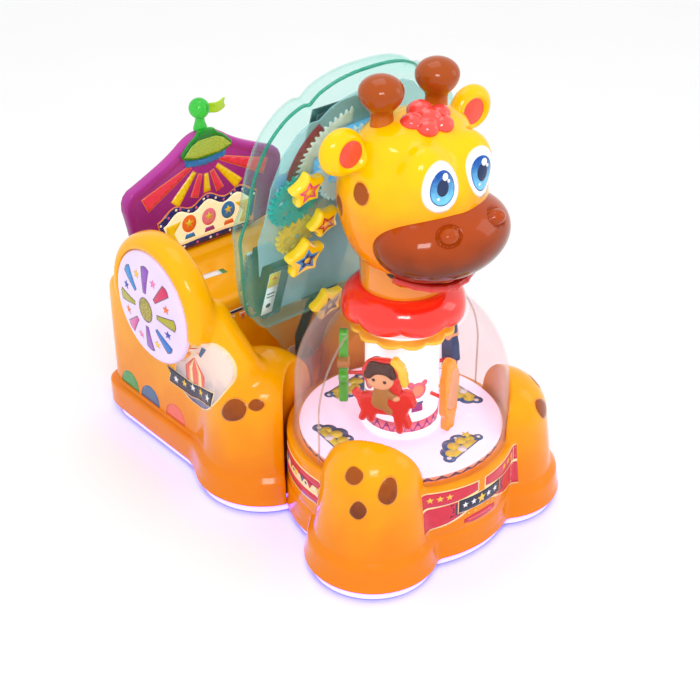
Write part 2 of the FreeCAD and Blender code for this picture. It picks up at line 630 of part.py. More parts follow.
DISC_WALL = 4.0
put("floor_disc", cyl(0, 0, DISC_Z, DISC_R, DISC_T).cut(
    cyl(0, 0, DISC_Z - 1.0, DISC_R - DISC_WALL,
        DISC_T - DISC_WALL + 1.0)).cut(
    cyl(0, 0, DISC_Z - 1.0, 46.0, DISC_T + 2.0)))

POST_TOP = NECK_Z + 40.0 + HEAD_RISE
put("centre_post", fuse(
    cyl(0, 0, 150.0, POST_R, POST_TOP - 150.0),
    cyl(0, 0, 150.0, 40.0, 5.0),
    cyl(0, 0, POST_TOP, 60.0, 5.0)))
MOTOR_TOP = DECK_Z - WALL
SLEEVE_R = 20.0
put("carousel_motor", fuse(
    box(-45.0, 45.0, -45.0, 45.0, MOTOR_TOP - 60.0, MOTOR_TOP),
    cyl(0, 45.0, MOTOR_TOP - 30.0, 26.0, 90.0, (0, 1, 0))).cut(
    cyl(0, 0, MOTOR_TOP - 70.0, SLEEVE_R + SPIN_GAP, 80.0)))

# turning parts: sleeve, drum, canopy and four figures on short arms
drum = cyl(0, 0, DRUM_Z, DRUM_R, DRUM_H).cut(
    cyl(0, 0, DRUM_Z - 1.0, DRUM_R - DRUM_T, DRUM_H + 2.0))
hub_low = cyl(0, 0, MOTOR_TOP - 40.0, SLEEVE_R,
              DRUM_Z - MOTOR_TOP + 46.0).cut(
    cyl(0, 0, MOTOR_TOP - 41.0, POST_R + 0.6, 200.0))
spider = cyl(0, 0, DRUM_Z, DRUM_R - DRUM_T, 4.0).cut(
    cyl(0, 0, DRUM_Z - 1.0, SLEEVE_R - 1.0, 8.0))
top_ring = cyl(0, 0, DRUM_Z + DRUM_H - 4.0, DRUM_R - DRUM_T, 4.0).cut(
    cyl(0, 0, DRUM_Z + DRUM_H - 6.0, POST_R + SPIN_GAP, 8.0))
CANOPY_R = 112.0
canopy_z = DRUM_Z + DRUM_H
canopy = turned(
    [(POST_R + 3.0, canopy_z - 1.0), (CANOPY_R, canopy_z - 1.0),
     (CANOPY_R, canopy_z + 4.0), (60.0, canopy_z + 12.0),
     (POST_R + 3.0, canopy_z + 12.0)], 0, 0)
put("carousel_drum", fuse(drum, spider, top_ring, hub_low, canopy))

FIG_Z0, FIG_H = DRUM_Z + 62.0, 150.0


def figure(points, angle, z_off, t=None):
    """Flat layered figure, drawn in (along, up), on an arm from the drum."""
    half = (t or FIGURE_T) / 2.0
    pts = [V(x, -half, z) for x, z in points]
    body = Part.Face(Part.makePolygon(pts + [pts[0]])).extrude(
        V(0, 2 * half, 0))
    body.translate(V(0, -FIGURE_R, FIG_Z0 + z_off))
    arm = Part.makeCylinder(5.0, FIGURE_R - half - DRUM_R + 1.0,
                            V(0, -DRUM_R + 1.0, FIG_Z0 + z_off + 40.0),
                            V(0, -1, 0))
    shell = Part.makeCylinder(DRUM_R + 0.02, 900.0, V(0, 0, 0))
    out = body.fuse(arm).cut(shell)
    out.rotate(V(0, 0, 0), V(0, 0, 1), angle)
    out.translate(V(0, YD, 0))
    return out


horse = [(-52, 10), (-40, 4), (-30, 34), (-8, 40), (12, 34), (30, -22),
         (46, -14), (38, 22), (58, 34), (62, 62), (44, 78), (34, 96),
         (30, 128), (8, 146), (-22, 142), (-40, 122), (-38, 96), (-58, 78),
         (-64, 54), (-54, 50), (-46, 66), (-42, 40)]
figures = [figure(horse, -59.0, 0.0)]
slim = [(-12, -30), (14, -30), (16, 20), (44, 34), (46, 70), (30, 84),
        (34, 120), (20, 150), (-10, 152), (-22, 120), (-18, 84), (-36, 60),
        (-30, 30), (-14, 20)]
figures.append(figure(slim, -133.0, 6.0))
round_fig = [(-14, -34), (14, -34), (16, 0), (34, 14), (40, 60), (30, 96),
             (22, 134), (0, 146), (-22, 134), (-30, 96), (-40, 60),
             (-34, 14), (-16, 0)]
figures.append(figure(round_fig, 9.0, -16.0))
tall = [(-20, -14), (20, -14), (24, 40), (30, 84), (22, 118), (26, 150),
        (-4, 156), (-24, 150), (-18, 112), (-32, 70), (-24, 36)]
figures.append(figure(tall, 80.0, 6.0))
put("carousel_figures", group(*figures))

# ============================================================================
# Head, neck and collar
# ============================================================================
H = HEAD_RISE


def collar_body(t):
    return turned(
        [(0, COLLAR_Z + 15.0), (COLLAR_R - 6.0 - t, COLLAR_Z + 15.0),
         (COLLAR_R - 4.0 - t, COLLAR_Z - 4.0 + t),
         (COLLAR_R + 3.0 - t, COLLAR_Z + 4.0),
         (COLLAR_R + 4.0 - t, COLLAR_Z + 22.0),
         (COLLAR_R - 8.0 - t, COLLAR_Z + 44.0 - t),
         (COLLAR_R - 30.0 - t, COLLAR_Z + 66.0 - t),
         (NECK_R - t, NECK_Z + 4.0 + H - t), (0, NECK_Z + 4.0 + H - t)],
        0, 0)


collar = collar_body(0).cut(collar_body(WALL)).cut(
    cyl(0, 0, COLLAR_Z - 20.0, NECK_R - 26.0, 300.0 + H))
put("collar", max(collar.Solids, key=lambda c: c.Volume))

LEAN = math.radians(CASE_LEAN)


def case_plane(w):
    """Half space in front of the console's front face, w in front of it."""
    b = Part.makeBox(2000, 1000, 2400, V(-1000, w - 1000, -600))
    b.rotate(V(0, 0, 0), V(1, 0, 0), CASE_LEAN)
    b.translate(V(0, YD + CASE_Y, CASE_Z))
    return b


NECK_TOP = HEAD_Z - 130.0 + H
neck_z0 = NECK_Z + 4.5 + H
neck = turned([(0, neck_z0), (NECK_R - 1.0, neck_z0), (NECK_R + 6.0, NECK_TOP),
               (0, NECK_TOP)], 0, 0)
neck = neck.cut(turned([(0, neck_z0 - 1.0), (NECK_R - 1.0 - WALL, neck_z0 - 1),
                        (NECK_R + 6.0 - WALL, NECK_TOP + 1.0),
                        (0, NECK_TOP + 1.0)], 0, 0))


def skull(t):
    return ellipsoid(0, HEAD_Y, HEAD_Z + H, HEAD_X - t, HEAD_X - t,
                     HEAD_H - t)


front_of_case = case_plane(-CASE_FRONT - 2.0)
front_of_case_in = case_plane(-CASE_FRONT - 2.0 - WALL)
MUZZLE_Y, MUZZLE_Z = -126.0, 862.0
MUZZLE_X, MUZZLE_D, MUZZLE_H = 184.0, 138.0, 104.0


def muzzle_body(t):
    return ellipsoid(0, MUZZLE_Y, MUZZLE_Z + H, MUZZLE_X - t, MUZZLE_D - t,
                     MUZZLE_H - t)


skull_shell = skull(0).common(front_of_case).cut(
    skull(WALL).common(front_of_case_in))
skull_shell = skull_shell.cut(muzzle_body(-0.4))
skull_shell = skull_shell.cut(cyl(0, 0, 600.0, NECK_R + 7.0,
                                  NECK_TOP - 600.0 + 1.0))
skull_shell = max(skull_shell.Solids, key=lambda s: s.Volume)
put("neck", max(neck.Solids, key=lambda s: s.Volume))
muzzle_shell = muzzle_body(0).cut(muzzle_body(WALL)).cut(
    skull(WALL + 1.0)).cut(cyl(0, 0, 500.0, NECK_R + 7.0, 500.0))
muzzle_shell = max(muzzle_shell.Solids, key=lambda s: s.Volume)
mouth = ellipsoid(0, MUZZLE_Y - 40.0, MUZZLE_Z - 82.0 + H, 120.0, 110.0, 22.0)
put("muzzle", muzzle_shell.cut(mouth))

# ears, horns, tuft and eyes on the skull
ears = []
for s in (1, -1):
    ear = ellipsoid(0, -YD, 0, 50.0, 17.0, 56.0)
    ear = ear.cut(ellipsoid(4.0, -YD - 16.0, 2.0, 30.0, 14.0, 36.0))
    ear.rotate(V(0, 0, 0), V(0, 1, 0), 52.0)
    ear.rotate(V(0, 0, 0), V(0, 0, 1), -14.0)
    ear.translate(V(EAR_X, YD + HEAD_Y - 10.0, EAR_Z + H))
    ears.append(ear if s > 0 else mirrored(ear))
put("ears", group(*[e.cut(skull(-0.2)) for e in ears]))

horns = []
HORN_TOP_Z = HORN_TOP + H
for s in (-1, 1):
    stem = turned([(0, 1080.0 + H), (27.0, 1080.0 + H), (25.0, 1130.0 + H),
                   (33.0, HORN_TOP_Z - 84.0), (0, HORN_TOP_Z - 84.0)],
                  s * HORN_X, HEAD_Y + 4.0)
    knob = ellipsoid(s * HORN_X, HEAD_Y + 4.0, HORN_TOP_Z - 48.0,
                     52.0, 52.0, 48.0)
    horns.append(fuse(stem, knob).cut(skull(-0.2)))
horns = [max(h.Solids, key=lambda s: s.Volume) for h in horns]
put("horns", group(*horns))
tuft = fuse(*[ellipsoid(dx, HEAD_Y - 44.0 + dy, HEAD_Z + 194.0 + dz + H,
                        26.0, 26.0, 18.0)
              for dx, dy, dz in ((-30, -16, -14), (30, -16, -14), (0, -34, -18),
                                 (-24, 14, -2), (24, 14, -2), (0, 4, 6))])
put("tuft", max(tuft.cut(skull(-0.2)).Solids, key=lambda s: s.Volume))
eyes = []
for s in (1, -1):
    eye = ellipsoid(0, -YD, 0, 44.0, 12.0, 58.0)
    eye.rotate(V(0, 0, 0), V(1, 0, 0), -24.0)
    eye.rotate(V(0, 0, 0), V(0, 0, 1), s * 21.0)
    eye.translate(V(s * 66.0, YD - 172.0, 1000.0 + H))
    eye = eye.cut(skull(-0.2)).cut(muzzle_body(-0.6))
    eyes.append(max(eye.Solids, key=lambda q: q.Volume))
put("eyes", group(*eyes))
put("head_shell", skull_shell)

# ============================================================================
# Console: clear two-part case with display gears, coin unit and controls
# ============================================================================
CASE_HALF = [(0.0, 742.0), (51.0, 740.0), (104.0, 730.0), (150.0, 709.0),
             (174.0, 683.0), (200.0, 684.0), (244.0, 654.0), (283.0, 589.0),
             (301.0, 487.0), (297.0, 374.0), (305.0, 308.0), (287.0, 234.0),
             (260.0, 124.0), (228.0, 26.0), (204.0, 0.0)]


def offset_half(t):
    """The half outline moved inwards by t."""
    out = []
    n = len(CASE_HALF)
    for i, (x, v) in enumerate(CASE_HALF):
        x0, v0 = CASE_HALF[max(i - 1, 0)]
        x1, v1 = CASE_HALF[min(i + 1, n - 1)]
        if i == 0:
            x0, v0 = -CASE_HALF[1][0], CASE_HALF[1][1]
        dx, dv = x1 - x0, v1 - v0
        ln = math.hypot(dx, dv)
        out.append((max(x + dv / ln * t, 0.0), v - dx / ln * t))
    out[-1] = (out[-1][0], t)
    return out


def in_case(shape):
    """From the case's own frame (across, back, up) to the model."""
    s = shape.copy()
    s.rotate(V(0, 0, 0), V(1, 0, 0), CASE_LEAN)
    s.translate(V(0, YD + CASE_Y, CASE_Z))
    return s


def case_slab(t, w0, w1):
    half = offset_half(t)
    pts = [(x, v) for x, v in half] + [(-x, v) for x, v in reversed(half[1:])]
    vec = [V(x, w0, v) for x, v in pts]
    face = Part.Face(Part.makePolygon(vec + [vec[0]]))
    return face.extrude(V(0, w1 - w0, 0))


def case_loft(t0, w0, t1, w1):
    wires = []
    for t, w in ((t0, w0), (t1, w1)):
        half = offset_half(t)
        pts = ([(x, v) for x, v in half]
               + [(-x, v) for x, v in reversed(half[1:])])
        vec = [V(x, w, v) for x, v in pts]
        wires.append(Part.makePolygon(vec + [vec[0]]))
    return Part.makeLoft(wires, True, True)


def lbox(x0, x1, w0, w1, v0, v1):
    return Part.makeBox(x1 - x0, w1 - w0, v1 - v0, V(x0, w0, v0))


def lcyl(x, w, v, r, h, d=(0, 1, 0)):
    return Part.makeCylinder(r, h, V(x, w, v), V(*d))


SHOULDER = 22.0
f_out = case_slab(0, -CASE_FRONT + SHOULDER, -JOINT_GAP / 2).fuse(
    case_loft(0, -CASE_FRONT + SHOULDER, SHOULDER, -CASE_FRONT))
f_in = case_slab(CASE_T, -CASE_FRONT + SHOULDER + 1.0, 10.0).fuse(
    case_loft(CASE_T, -CASE_FRONT + SHOULDER + 1.0, SHOULDER + 1.0,
              -CASE_FRONT + CASE_T))
front_half = f_out.cut(f_in)
r_out = case_slab(0, JOINT_GAP / 2, CASE_REAR - 16.0).fuse(
    case_loft(0, CASE_REAR - 16.0, 16.0, CASE_REAR))
r_in = case_slab(CASE_T, -10.0, CASE_REAR - 17.0).fuse(
    case_loft(CASE_T, CASE_REAR - 17.0, 17.0, CASE_REAR - CASE_T))
rear_half = r_out.cut(r_in)

# control places on the rear half, (across, up) in the case's frame
WHEEL_V = 330.0
SCREEN = (-95.0, 95.0, 470.0, 600.0)
BUTTONS = ((-150.0, 400.0), (150.0, 400.0))
BTN_R = 20.0
COIN = (-225.0, -155.0, 60.0, 190.0)
rear_half = rear_half.cut(lcyl(0, 0, WHEEL_V, 14.0, 90.0))
rear_half = rear_half.cut(lbox(SCREEN[0], SCREEN[1], 20.0, 90.0,
                               SCREEN[2], SCREEN[3]))
for bx, bv in BUTTONS:
    rear_half = rear_half.cut(lcyl(bx, 20.0, bv, BTN_R + 0.5, 60.0))
rear_half = rear_half.cut(lbox(COIN[0], COIN[1], 20.0, 90.0,
                               COIN[2], COIN[3]))
mast_hole = lcyl(0, -9.0, -30.0, MAST_R + 2.0, 60.0, (0, 0, 1))
put("case_front", in_case(front_half.cut(mast_hole)))
put("case_rear", in_case(rear_half.cut(mast_hole)))

# seam band between the halves is the gear plate's rim
plate = case_slab(CASE_T + 30.0, -30.0, -26.0)
GEARS = {"gear_large": (-30.0, 500.0, 36), "gear_teal": None,
         "gear_yellow": None, "gear_blue": None}


def placed(c, n0, n1, angle):
    d = GEAR_M * (n0 + n1) / 2.0
    a = math.radians(angle)
    return (c[0] + d * math.cos(a), c[1] + d * math.sin(a), n1)


GEARS["gear_teal"] = placed(GEARS["gear_large"], 36, 24, 200.0)
GEARS["gear_yellow"] = placed(GEARS["gear_teal"], 24, 18, -76.0)
GEARS["gear_blue"] = placed(GEARS["gear_large"], 36, 24, -18.0)
AXLE_R = 6.0


def gear(teeth, first_tooth):
    """Spur gear with straight-flanked display teeth, first tooth at angle."""
    pr = GEAR_M * teeth / 2.0
    tip, root = pr + GEAR_M * 0.85, pr - GEAR_M * 1.15
    pitch = 360.0 / teeth
    pts = []
    for i in range(teeth):
        a = first_tooth + i * pitch
        for da, r in ((-0.30, root), (-0.12, tip), (0.12, tip), (0.30, root)):
            q = math.radians(a + da * pitch)
            pts.append(V(r * math.cos(q), 0, r * math.sin(q)))
    body = Part.Face(Part.makePolygon(pts + [pts[0]])).extrude(
        V(0, GEAR_T, 0))
    holes = []
    for i in range(5):
        q = math.radians(first_tooth + i * 72.0)
        holes.append(Part.makeCylinder(pr * 0.20, 60.0,
                                       V(pr * 0.55 * math.cos(q), -10,
                                         pr * 0.55 * math.sin(q)),
                                       V(0, 1, 0)))
    holes.append(Part.makeCylinder(AXLE_R + SPIN_GAP, 60.0, V(0, -10, 0),
                                   V(0, 1, 0)))
    for h in holes:
        body = body.cut(h)
    return body


def aim(a, b):
    return math.degrees(math.atan2(b[1] - a[1], b[0] - a[0]))


phase = {"gear_large": aim(GEARS["gear_large"], GEARS["gear_teal"])}
pitch_l = 360.0 / 36
phase["gear_teal"] = (aim(GEARS["gear_teal"], GEARS["gear_large"])
                      + 180.0 / 24)
# tooth phase of a follower: its gap faces the driver's tooth


def follow(driver, n_d, ph_d, c_d, c_f, n_f):
    """First-tooth angle of a gear that meshes with a driver."""
    to_f = aim(c_d, c_f)
    frac = ((to_f - ph_d) / (360.0 / n_d)) % 1.0
    back = aim(c_f, c_d)
    return back + (0.5 + frac) * (360.0 / n_f)


phase["gear_teal"] = follow("gear_large", 36, phase["gear_large"],
                            GEARS["gear_large"], GEARS["gear_teal"], 24)
phase["gear_blue"] = follow("gear_large", 36, phase["gear_large"],
                            GEARS["gear_large"], GEARS["gear_blue"], 24)
phase["gear_yellow"] = follow("gear_teal", 24, phase["gear_teal"],
                              GEARS["gear_teal"], GEARS["gear_yellow"], 18)
for name, (gx, gv, teeth) in GEARS.items():
    g = gear(teeth, phase[name])
    g.translate(V(gx, GEAR_W, gv))
    put(name, in_case(g))
    plate = plate.fuse(lcyl(gx, GEAR_W - 3.0, gv, AXLE_R,
                            -26.0 - GEAR_W + 3.0))
plate = plate.cut(lbox(-240.0, -145.0, -60.0, 60.0, 0.0, 222.0))
plate = plate.removeSplitter()
put("gear_plate", in_case(plate))

# steel mast up the column, with a flange bolted to the gear plate
MAST_W = -9.0            # mast centre in the case's frame


def from_case(x, w, v):
    rot = FreeCAD.Rotation(V(1, 0, 0), CASE_LEAN)
    return rot.multVec(V(x, w, v)) + V(0, YD + CASE_Y, CASE_Z)


def rod_between(a, b, r):
    return Part.makeCylinder(r, (b - a).Length, a, b - a)


mast_pts = [V(0, YD + COLUMN_Y, rz1), V(0, YD + COLUMN_Y, 335.0),
            from_case(0, MAST_W, -8.0), from_case(0, MAST_W, 200.0)]
mast = rod_between(mast_pts[0], mast_pts[1], MAST_R)
for a, b in zip(mast_pts[1:-1], mast_pts[2:]):
    mast = mast.fuse(Part.makeSphere(MAST_R, a)).fuse(
        rod_between(a, b, MAST_R))
flange = lbox(-60.0, 60.0, -25.7, -21.7, 20.0, 440.0)
put("console_mast", fuse(mast, in_case(flange)))

put("column_cover", cyl(0, COLUMN_Y, FLOOR_Z, COLUMN_R, 180.0).cut(
    cyl(0, COLUMN_Y, FLOOR_Z - 1.0, COLUMN_R - 3.0, 182.0)))


def oval(cx, y, z, rx, ry, n=24):
    return [V(cx + rx * math.cos(2 * math.pi * i / n),
              YD + y + ry * math.sin(2 * math.pi * i / n), z)
            for i in range(n)]


def rounded_foot(v, hx, w0, w1, r, n=24):
    """Rounded rectangle near the case's underside, in the model frame."""
    pts = []
    cx, cy = hx - r, (w1 - w0) / 2.0 - r
    mid = (w0 + w1) / 2.0
    for i in range(n):
        a = 2 * math.pi * i / n
        qx = cx * (1 if math.cos(a) > 1e-9 else -1 if math.cos(a) < -1e-9
                   else 0)
        qy = cy * (1 if math.sin(a) > 1e-9 else -1 if math.sin(a) < -1e-9
                   else 0)
        pts.append(V(qx + r * math.cos(a), mid + qy + r * math.sin(a), v))
    out = []
    for p in pts:
        q = V(p)
        rot = FreeCAD.Rotation(V(1, 0, 0), CASE_LEAN)
        q = rot.multVec(q)
        out.append(q + V(0, YD + CASE_Y, CASE_Z))
    return out


def funnel_body(t, ext):
    top = rounded_foot(-0.5 + ext, 196.0 - t, -CASE_FRONT + 8.0 + t,
                       CASE_REAR - 4.0 - t, 40.0 - t)
    mid = oval(0, 398.0, 372.0, 96.0 - t, 60.0 - t)
    low = oval(0, 414.0, FLOOR_Z + 182.0 - ext, 48.0 - t, 42.0 - t)
    wires = [Part.makePolygon(w + [w[0]]) for w in (low, mid, top)]
    return Part.makeLoft(wires, True, True)


funnel = funnel_body(0, 0).cut(funnel_body(3.0, 2.0))
put("case_funnel", funnel)

# coin unit: selector box, entry plate and sprung return button
cx0, cx1, cv0, cv1 = COIN
put("coin_box", in_case(lbox(cx0 + 14.0, cx1 - 0.5, -44.0, CASE_REAR - 6.0,
                             34.0, 212.0).common(
    case_slab(CASE_T + 1.0, -60.0, CASE_REAR - 6.0)).cut(
    lbox((cx0 + cx1) / 2 - 8.5, (cx0 + cx1) / 2 + 8.5, CASE_REAR - 30.0,
         CASE_REAR, cv0 + 42.5, cv0 + 59.5)).cut(
    lbox(cx0 + 16.0, cx1 - 16.0, CASE_REAR - 30.0, CASE_REAR,
         cv0 + 8.0, cv0 + 34.0))))
plate_c = lbox(cx0 + 1.0, cx1 - 1.0, CASE_REAR - 5.0, CASE_REAR + 3.0,
               cv0 + 1.0, cv1 - 1.0)
RET = ((cx0 + cx1) / 2.0, cv0 + 51.0)
RET_R = 8.0
plate_c = plate_c.cut(lbox((cx0 + cx1) / 2 - 1.8, (cx0 + cx1) / 2 + 1.8,
                           CASE_REAR - 8.0, CASE_REAR + 8.0,
                           cv1 - 48.0, cv1 - 18.0))
plate_c = plate_c.cut(lcyl(RET[0], CASE_REAR - 10.0, RET[1], RET_R + 0.4,
                           30.0))
plate_c = plate_c.cut(lbox(cx0 + 16.0, cx1 - 16.0, CASE_REAR - 8.0,
                           CASE_REAR + 8.0, cv0 + 8.0, cv0 + 34.0))
put("coin_plate", in_case(plate_c))
put("coin_return_button", in_case(lcyl(RET[0], CASE_REAR - 13.0, RET[1],
                                       RET_R, 24.0)))

# screen, speaker, buttons and steering wheel
sx0, sx1, sv0, sv1 = SCREEN
bezel = lbox(sx0 - 8.0, sx1 + 8.0, CASE_REAR + 0.3, CASE_REAR + 4.3,
             sv0 - 8.0, sv1 + 8.0).fuse(
    lbox(sx0 + 0.5, sx1 - 0.5, CASE_REAR - 12.0, CASE_REAR + 0.3,
         sv0 + 0.5, sv1 - 0.5)).removeSplitter()
bezel = bezel.cut(lbox(sx0 + 10.0, sx1 - 10.0, CASE_REAR - 2.0,
                       CASE_REAR + 10.0, sv0 + 10.0, sv1 - 10.0))
put("screen", in_case(bezel))
SPK = (0.0, 160.0, 46.0)
spk = lcyl(SPK[0], CASE_REAR + 0.3, SPK[1], SPK[2], 6.0)
for i in range(-3, 4):
    ln = math.sqrt(36.0 ** 2 - (i * 10.0) ** 2) if abs(i * 10) < 36 else 8.0
    spk = spk.cut(lbox(SPK[0] - ln, SPK[0] + ln, CASE_REAR - 1.0,
                       CASE_REAR + 9.0, SPK[1] + i * 10.0 - 2.0,
                       SPK[1] + i * 10.0 + 2.0))
put("speaker_grille", in_case(spk))

for (bx, bv), name in zip(BUTTONS, ("button_music", "button_start")):
    put(name, in_case(lcyl(bx, CASE_REAR - 14.0, bv, BTN_R, 25.0).fuse(
        lcyl(bx, CASE_REAR - 17.0, bv, BTN_R + 5.0, 4.0)).removeSplitter()))

WHEEL_R, RIM_R = 92.0, 11.0
hub_w = CASE_REAR + 46.0
bearing = lcyl(0, -10.0, WHEEL_V, 13.5, CASE_REAR + 24.0).fuse(
    lcyl(0, CASE_REAR + 0.3, WHEEL_V, 34.0, 10.0)).removeSplitter()
bearing = bearing.fuse(lcyl(0, -10.0, WHEEL_V, 20.0, 6.0)).removeSplitter()
bearing = bearing.cut(lcyl(0, -20.0, WHEEL_V, 8.0 + SPIN_GAP, 140.0))
put("wheel_bearing", in_case(bearing))
rimt = Part.makeTorus(WHEEL_R, RIM_R, V(0, hub_w, WHEEL_V), V(0, 1, 0))
spokes = []
for a in (90.0, 210.0, 330.0):
    q = math.radians(a)
    spokes.append(Part.makeCylinder(8.0, WHEEL_R,
                                    V(0, hub_w - 4.0, WHEEL_V),
                                    V(math.cos(q), 0.04, math.sin(q))))
wheel = fuse(rimt, lcyl(0, hub_w - 14.0, WHEEL_V, 30.0, 24.0), *spokes)
put("steering_wheel", in_case(fuse(wheel, lcyl(0, 0.0, WHEEL_V, 8.0,
                                               hub_w - 13.0))))

# yellow star bosses screwed to the front of the case
STARS = ((-196.0, 488.0, 40.0, 8.0), (-124.0, 368.0, 36.0, 26.0),
         (-156.0, 262.0, 38.0, -6.0), (-24.0, 42.0, 38.0, 12.0))


def star(r, turn, depth):
    pts = []
    for i in range(10):
        rr = r if i % 2 == 0 else r * 0.58
        a = math.radians(90.0 + turn + i * 36.0)
        pts.append(V(rr * math.cos(a), 0, rr * math.sin(a)))
    face = Part.Face(Part.makePolygon(pts + [pts[0]]))
    return face.extrude(V(0, depth, 0))


bosses = []
for sx, sv, sr, turn in STARS:
    s = star(sr, turn, 20.0)
    s.translate(V(sx, -CASE_FRONT - 20.3, sv))
    bosses.append(in_case(s.cut(lcyl(sx, -CASE_FRONT - 22.0, sv, 6.0, 4.0))))
put("star_bosses", group(*bosses))

# ============================================================================
# write every piece
# ============================================================================
os.makedirs("parts", exist_ok=True)
for name in sorted(NODES):
    shape = NODES[name]
    solids = shape.Solids
    if len(solids) == 1:
        shape = solids[0]
    else:
        shape = Part.makeCompound(solids)
    shape.exportStep(os.path.join("parts", name + ".step"))
    bb = shape.optimalBoundingBox(False)
    print("%-20s solids %d valid %s vol %.0f  x %.1f..%.1f y %.1f..%.1f"
          " z %.1f..%.1f" % (name, len(solids), shape.isValid(),
                             shape.Volume, bb.XMin, bb.XMax, bb.YMin,
                             bb.YMax, bb.ZMin, bb.ZMax))
print(len(NODES), "pieces")
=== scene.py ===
# A coin-operated kiddie ride: giraffe head over a clear carousel dome, a
# see-through gear console, one seat with a tent backrest, and glossy
# moulded shells that rock on a lit base. Metres, +Z up, front towards -Y.
import math

import bmesh
import bpy
import numpy as np
from mathutils import Matrix, Vector
from mathutils.bvhtree import BVHTree


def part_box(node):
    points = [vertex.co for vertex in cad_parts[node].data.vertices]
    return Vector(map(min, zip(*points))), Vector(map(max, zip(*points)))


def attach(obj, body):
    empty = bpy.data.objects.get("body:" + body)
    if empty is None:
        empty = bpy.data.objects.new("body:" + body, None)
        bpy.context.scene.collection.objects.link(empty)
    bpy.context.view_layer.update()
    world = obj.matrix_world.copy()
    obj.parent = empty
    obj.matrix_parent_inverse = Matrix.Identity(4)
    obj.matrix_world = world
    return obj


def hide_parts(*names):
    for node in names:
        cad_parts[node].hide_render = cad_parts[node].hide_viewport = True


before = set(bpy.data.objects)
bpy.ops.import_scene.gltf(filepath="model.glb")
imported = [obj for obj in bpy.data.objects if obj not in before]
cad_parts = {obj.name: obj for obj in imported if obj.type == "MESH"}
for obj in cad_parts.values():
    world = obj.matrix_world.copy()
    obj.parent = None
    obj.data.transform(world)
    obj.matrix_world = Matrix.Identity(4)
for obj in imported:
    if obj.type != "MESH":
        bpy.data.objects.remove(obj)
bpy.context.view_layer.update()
AXIS_Y = -0.3075        # the dome's axis, which most front pieces share

# ---------------------------------------------------------------------------
# Front platform: ring wall and two front hooves in one rotational moulding
# of orange polyethylene, gloss painted. It drops over the ride frame and the
# dome sits in a groove on its deck.
# ---------------------------------------------------------------------------


def smooth_min(a, b, k):
    """Union of two fields with a fillet of about k."""
    h = np.clip(0.5 + 0.5 * (b - a) / k, 0.0, 1.0)
    return b * (1 - h) + a * h - k * h * (1 - h)


def smooth_max(a, b, k):
    return -smooth_min(-a, -b, k)


def rounded(points, passes=3):
    """A closed outline with its corners cut round."""
    p = np.asarray(points, dtype=float)
    for _ in range(passes):
        q = np.roll(p, -1, axis=0)
        p = np.stack([p * 0.75 + q * 0.25, p * 0.25 + q * 0.75], 1)
        p = p.reshape(-1, 2)
    return p


def outline_field(points, cell=0.002, pad=0.06):
    """Signed distance to a closed outline, read back from a fine grid."""
    p = np.asarray(points, dtype=float)
    lo, hi = p.min(0) - pad, p.max(0) + pad
    u = np.arange(lo[0], hi[0] + cell, cell)
    v = np.arange(lo[1], hi[1] + cell, cell)
    gu, gv = np.meshgrid(u, v, indexing="ij")
    best = np.full(gu.shape, 1e9)
    inside = np.zeros(gu.shape, dtype=bool)
    for a, b in zip(p, np.roll(p, -1, axis=0)):
        e = b - a
        t = ((gu - a[0]) * e[0] + (gv - a[1]) * e[1]) / max(e @ e, 1e-12)
        t = np.clip(t, 0, 1)
        d = (gu - a[0] - t * e[0]) ** 2 + (gv - a[1] - t * e[1]) ** 2
        best = np.minimum(best, d)
        if abs(e[1]) > 1e-12:
            hit = (gv >= min(a[1], b[1])) & (gv < max(a[1], b[1]))
            inside ^= hit & (gu < a[0] + (gv - a[1]) * e[0] / e[1])
    grid = np.sqrt(best) * np.where(inside, -1.0, 1.0)

    def read(x, y):
        fx = (x - lo[0]) / cell
        fy = (y - lo[1]) / cell
        cx = np.clip(fx, 0, grid.shape[0] - 1.001)
        cy = np.clip(fy, 0, grid.shape[1] - 1.001)
        i, j = cx.astype(int), cy.astype(int)
        s, t = cx - i, cy - j
        d = (grid[i, j] * (1 - s) * (1 - t) + grid[i + 1, j] * s * (1 - t)
             + grid[i, j + 1] * (1 - s) * t + grid[i + 1, j + 1] * s * t)
        return d + np.hypot(fx - cx, fy - cy) * cell

    return read


def round_join(a, b, edge):
    """Where two fields overlap, with their common edge rounded."""
    a, b = a + edge, b + edge
    return (np.minimum(np.maximum(a, b), 0)
            + np.hypot(np.maximum(a, 0), np.maximum(b, 0)) - edge)


def slab(flat, across, half, edge):
    """An outline field drawn out to a slab with its edges rounded."""
    return round_join(flat, np.abs(across) - half, edge)


def egg(x, y, z, c, r):
    """Ellipsoid field about c with half sizes r."""
    px, py, pz = (x - c[0]) / r[0], (y - c[1]) / r[1], (z - c[2]) / r[2]
    k = np.sqrt(px ** 2 + py ** 2 + pz ** 2) + 1e-9
    g = np.sqrt((px / r[0]) ** 2 + (py / r[1]) ** 2 + (pz / r[2]) ** 2) + 1e-9
    return k * (k - 1) / g


def rod_field(x, y, z, a, b, r0, r1):
    """Round bar from a to b, its radius running from r0 to r1."""
    a, b = np.array(a), np.array(b)
    d = b - a
    t = ((x - a[0]) * d[0] + (y - a[1]) * d[1] + (z - a[2]) * d[2]) / (d @ d)
    t = np.clip(t, 0, 1)
    q = np.sqrt((x - a[0] - t * d[0]) ** 2 + (y - a[1] - t * d[1]) ** 2
                + (z - a[2] - t * d[2]) ** 2)
    return q - (r0 + (r1 - r0) * t)


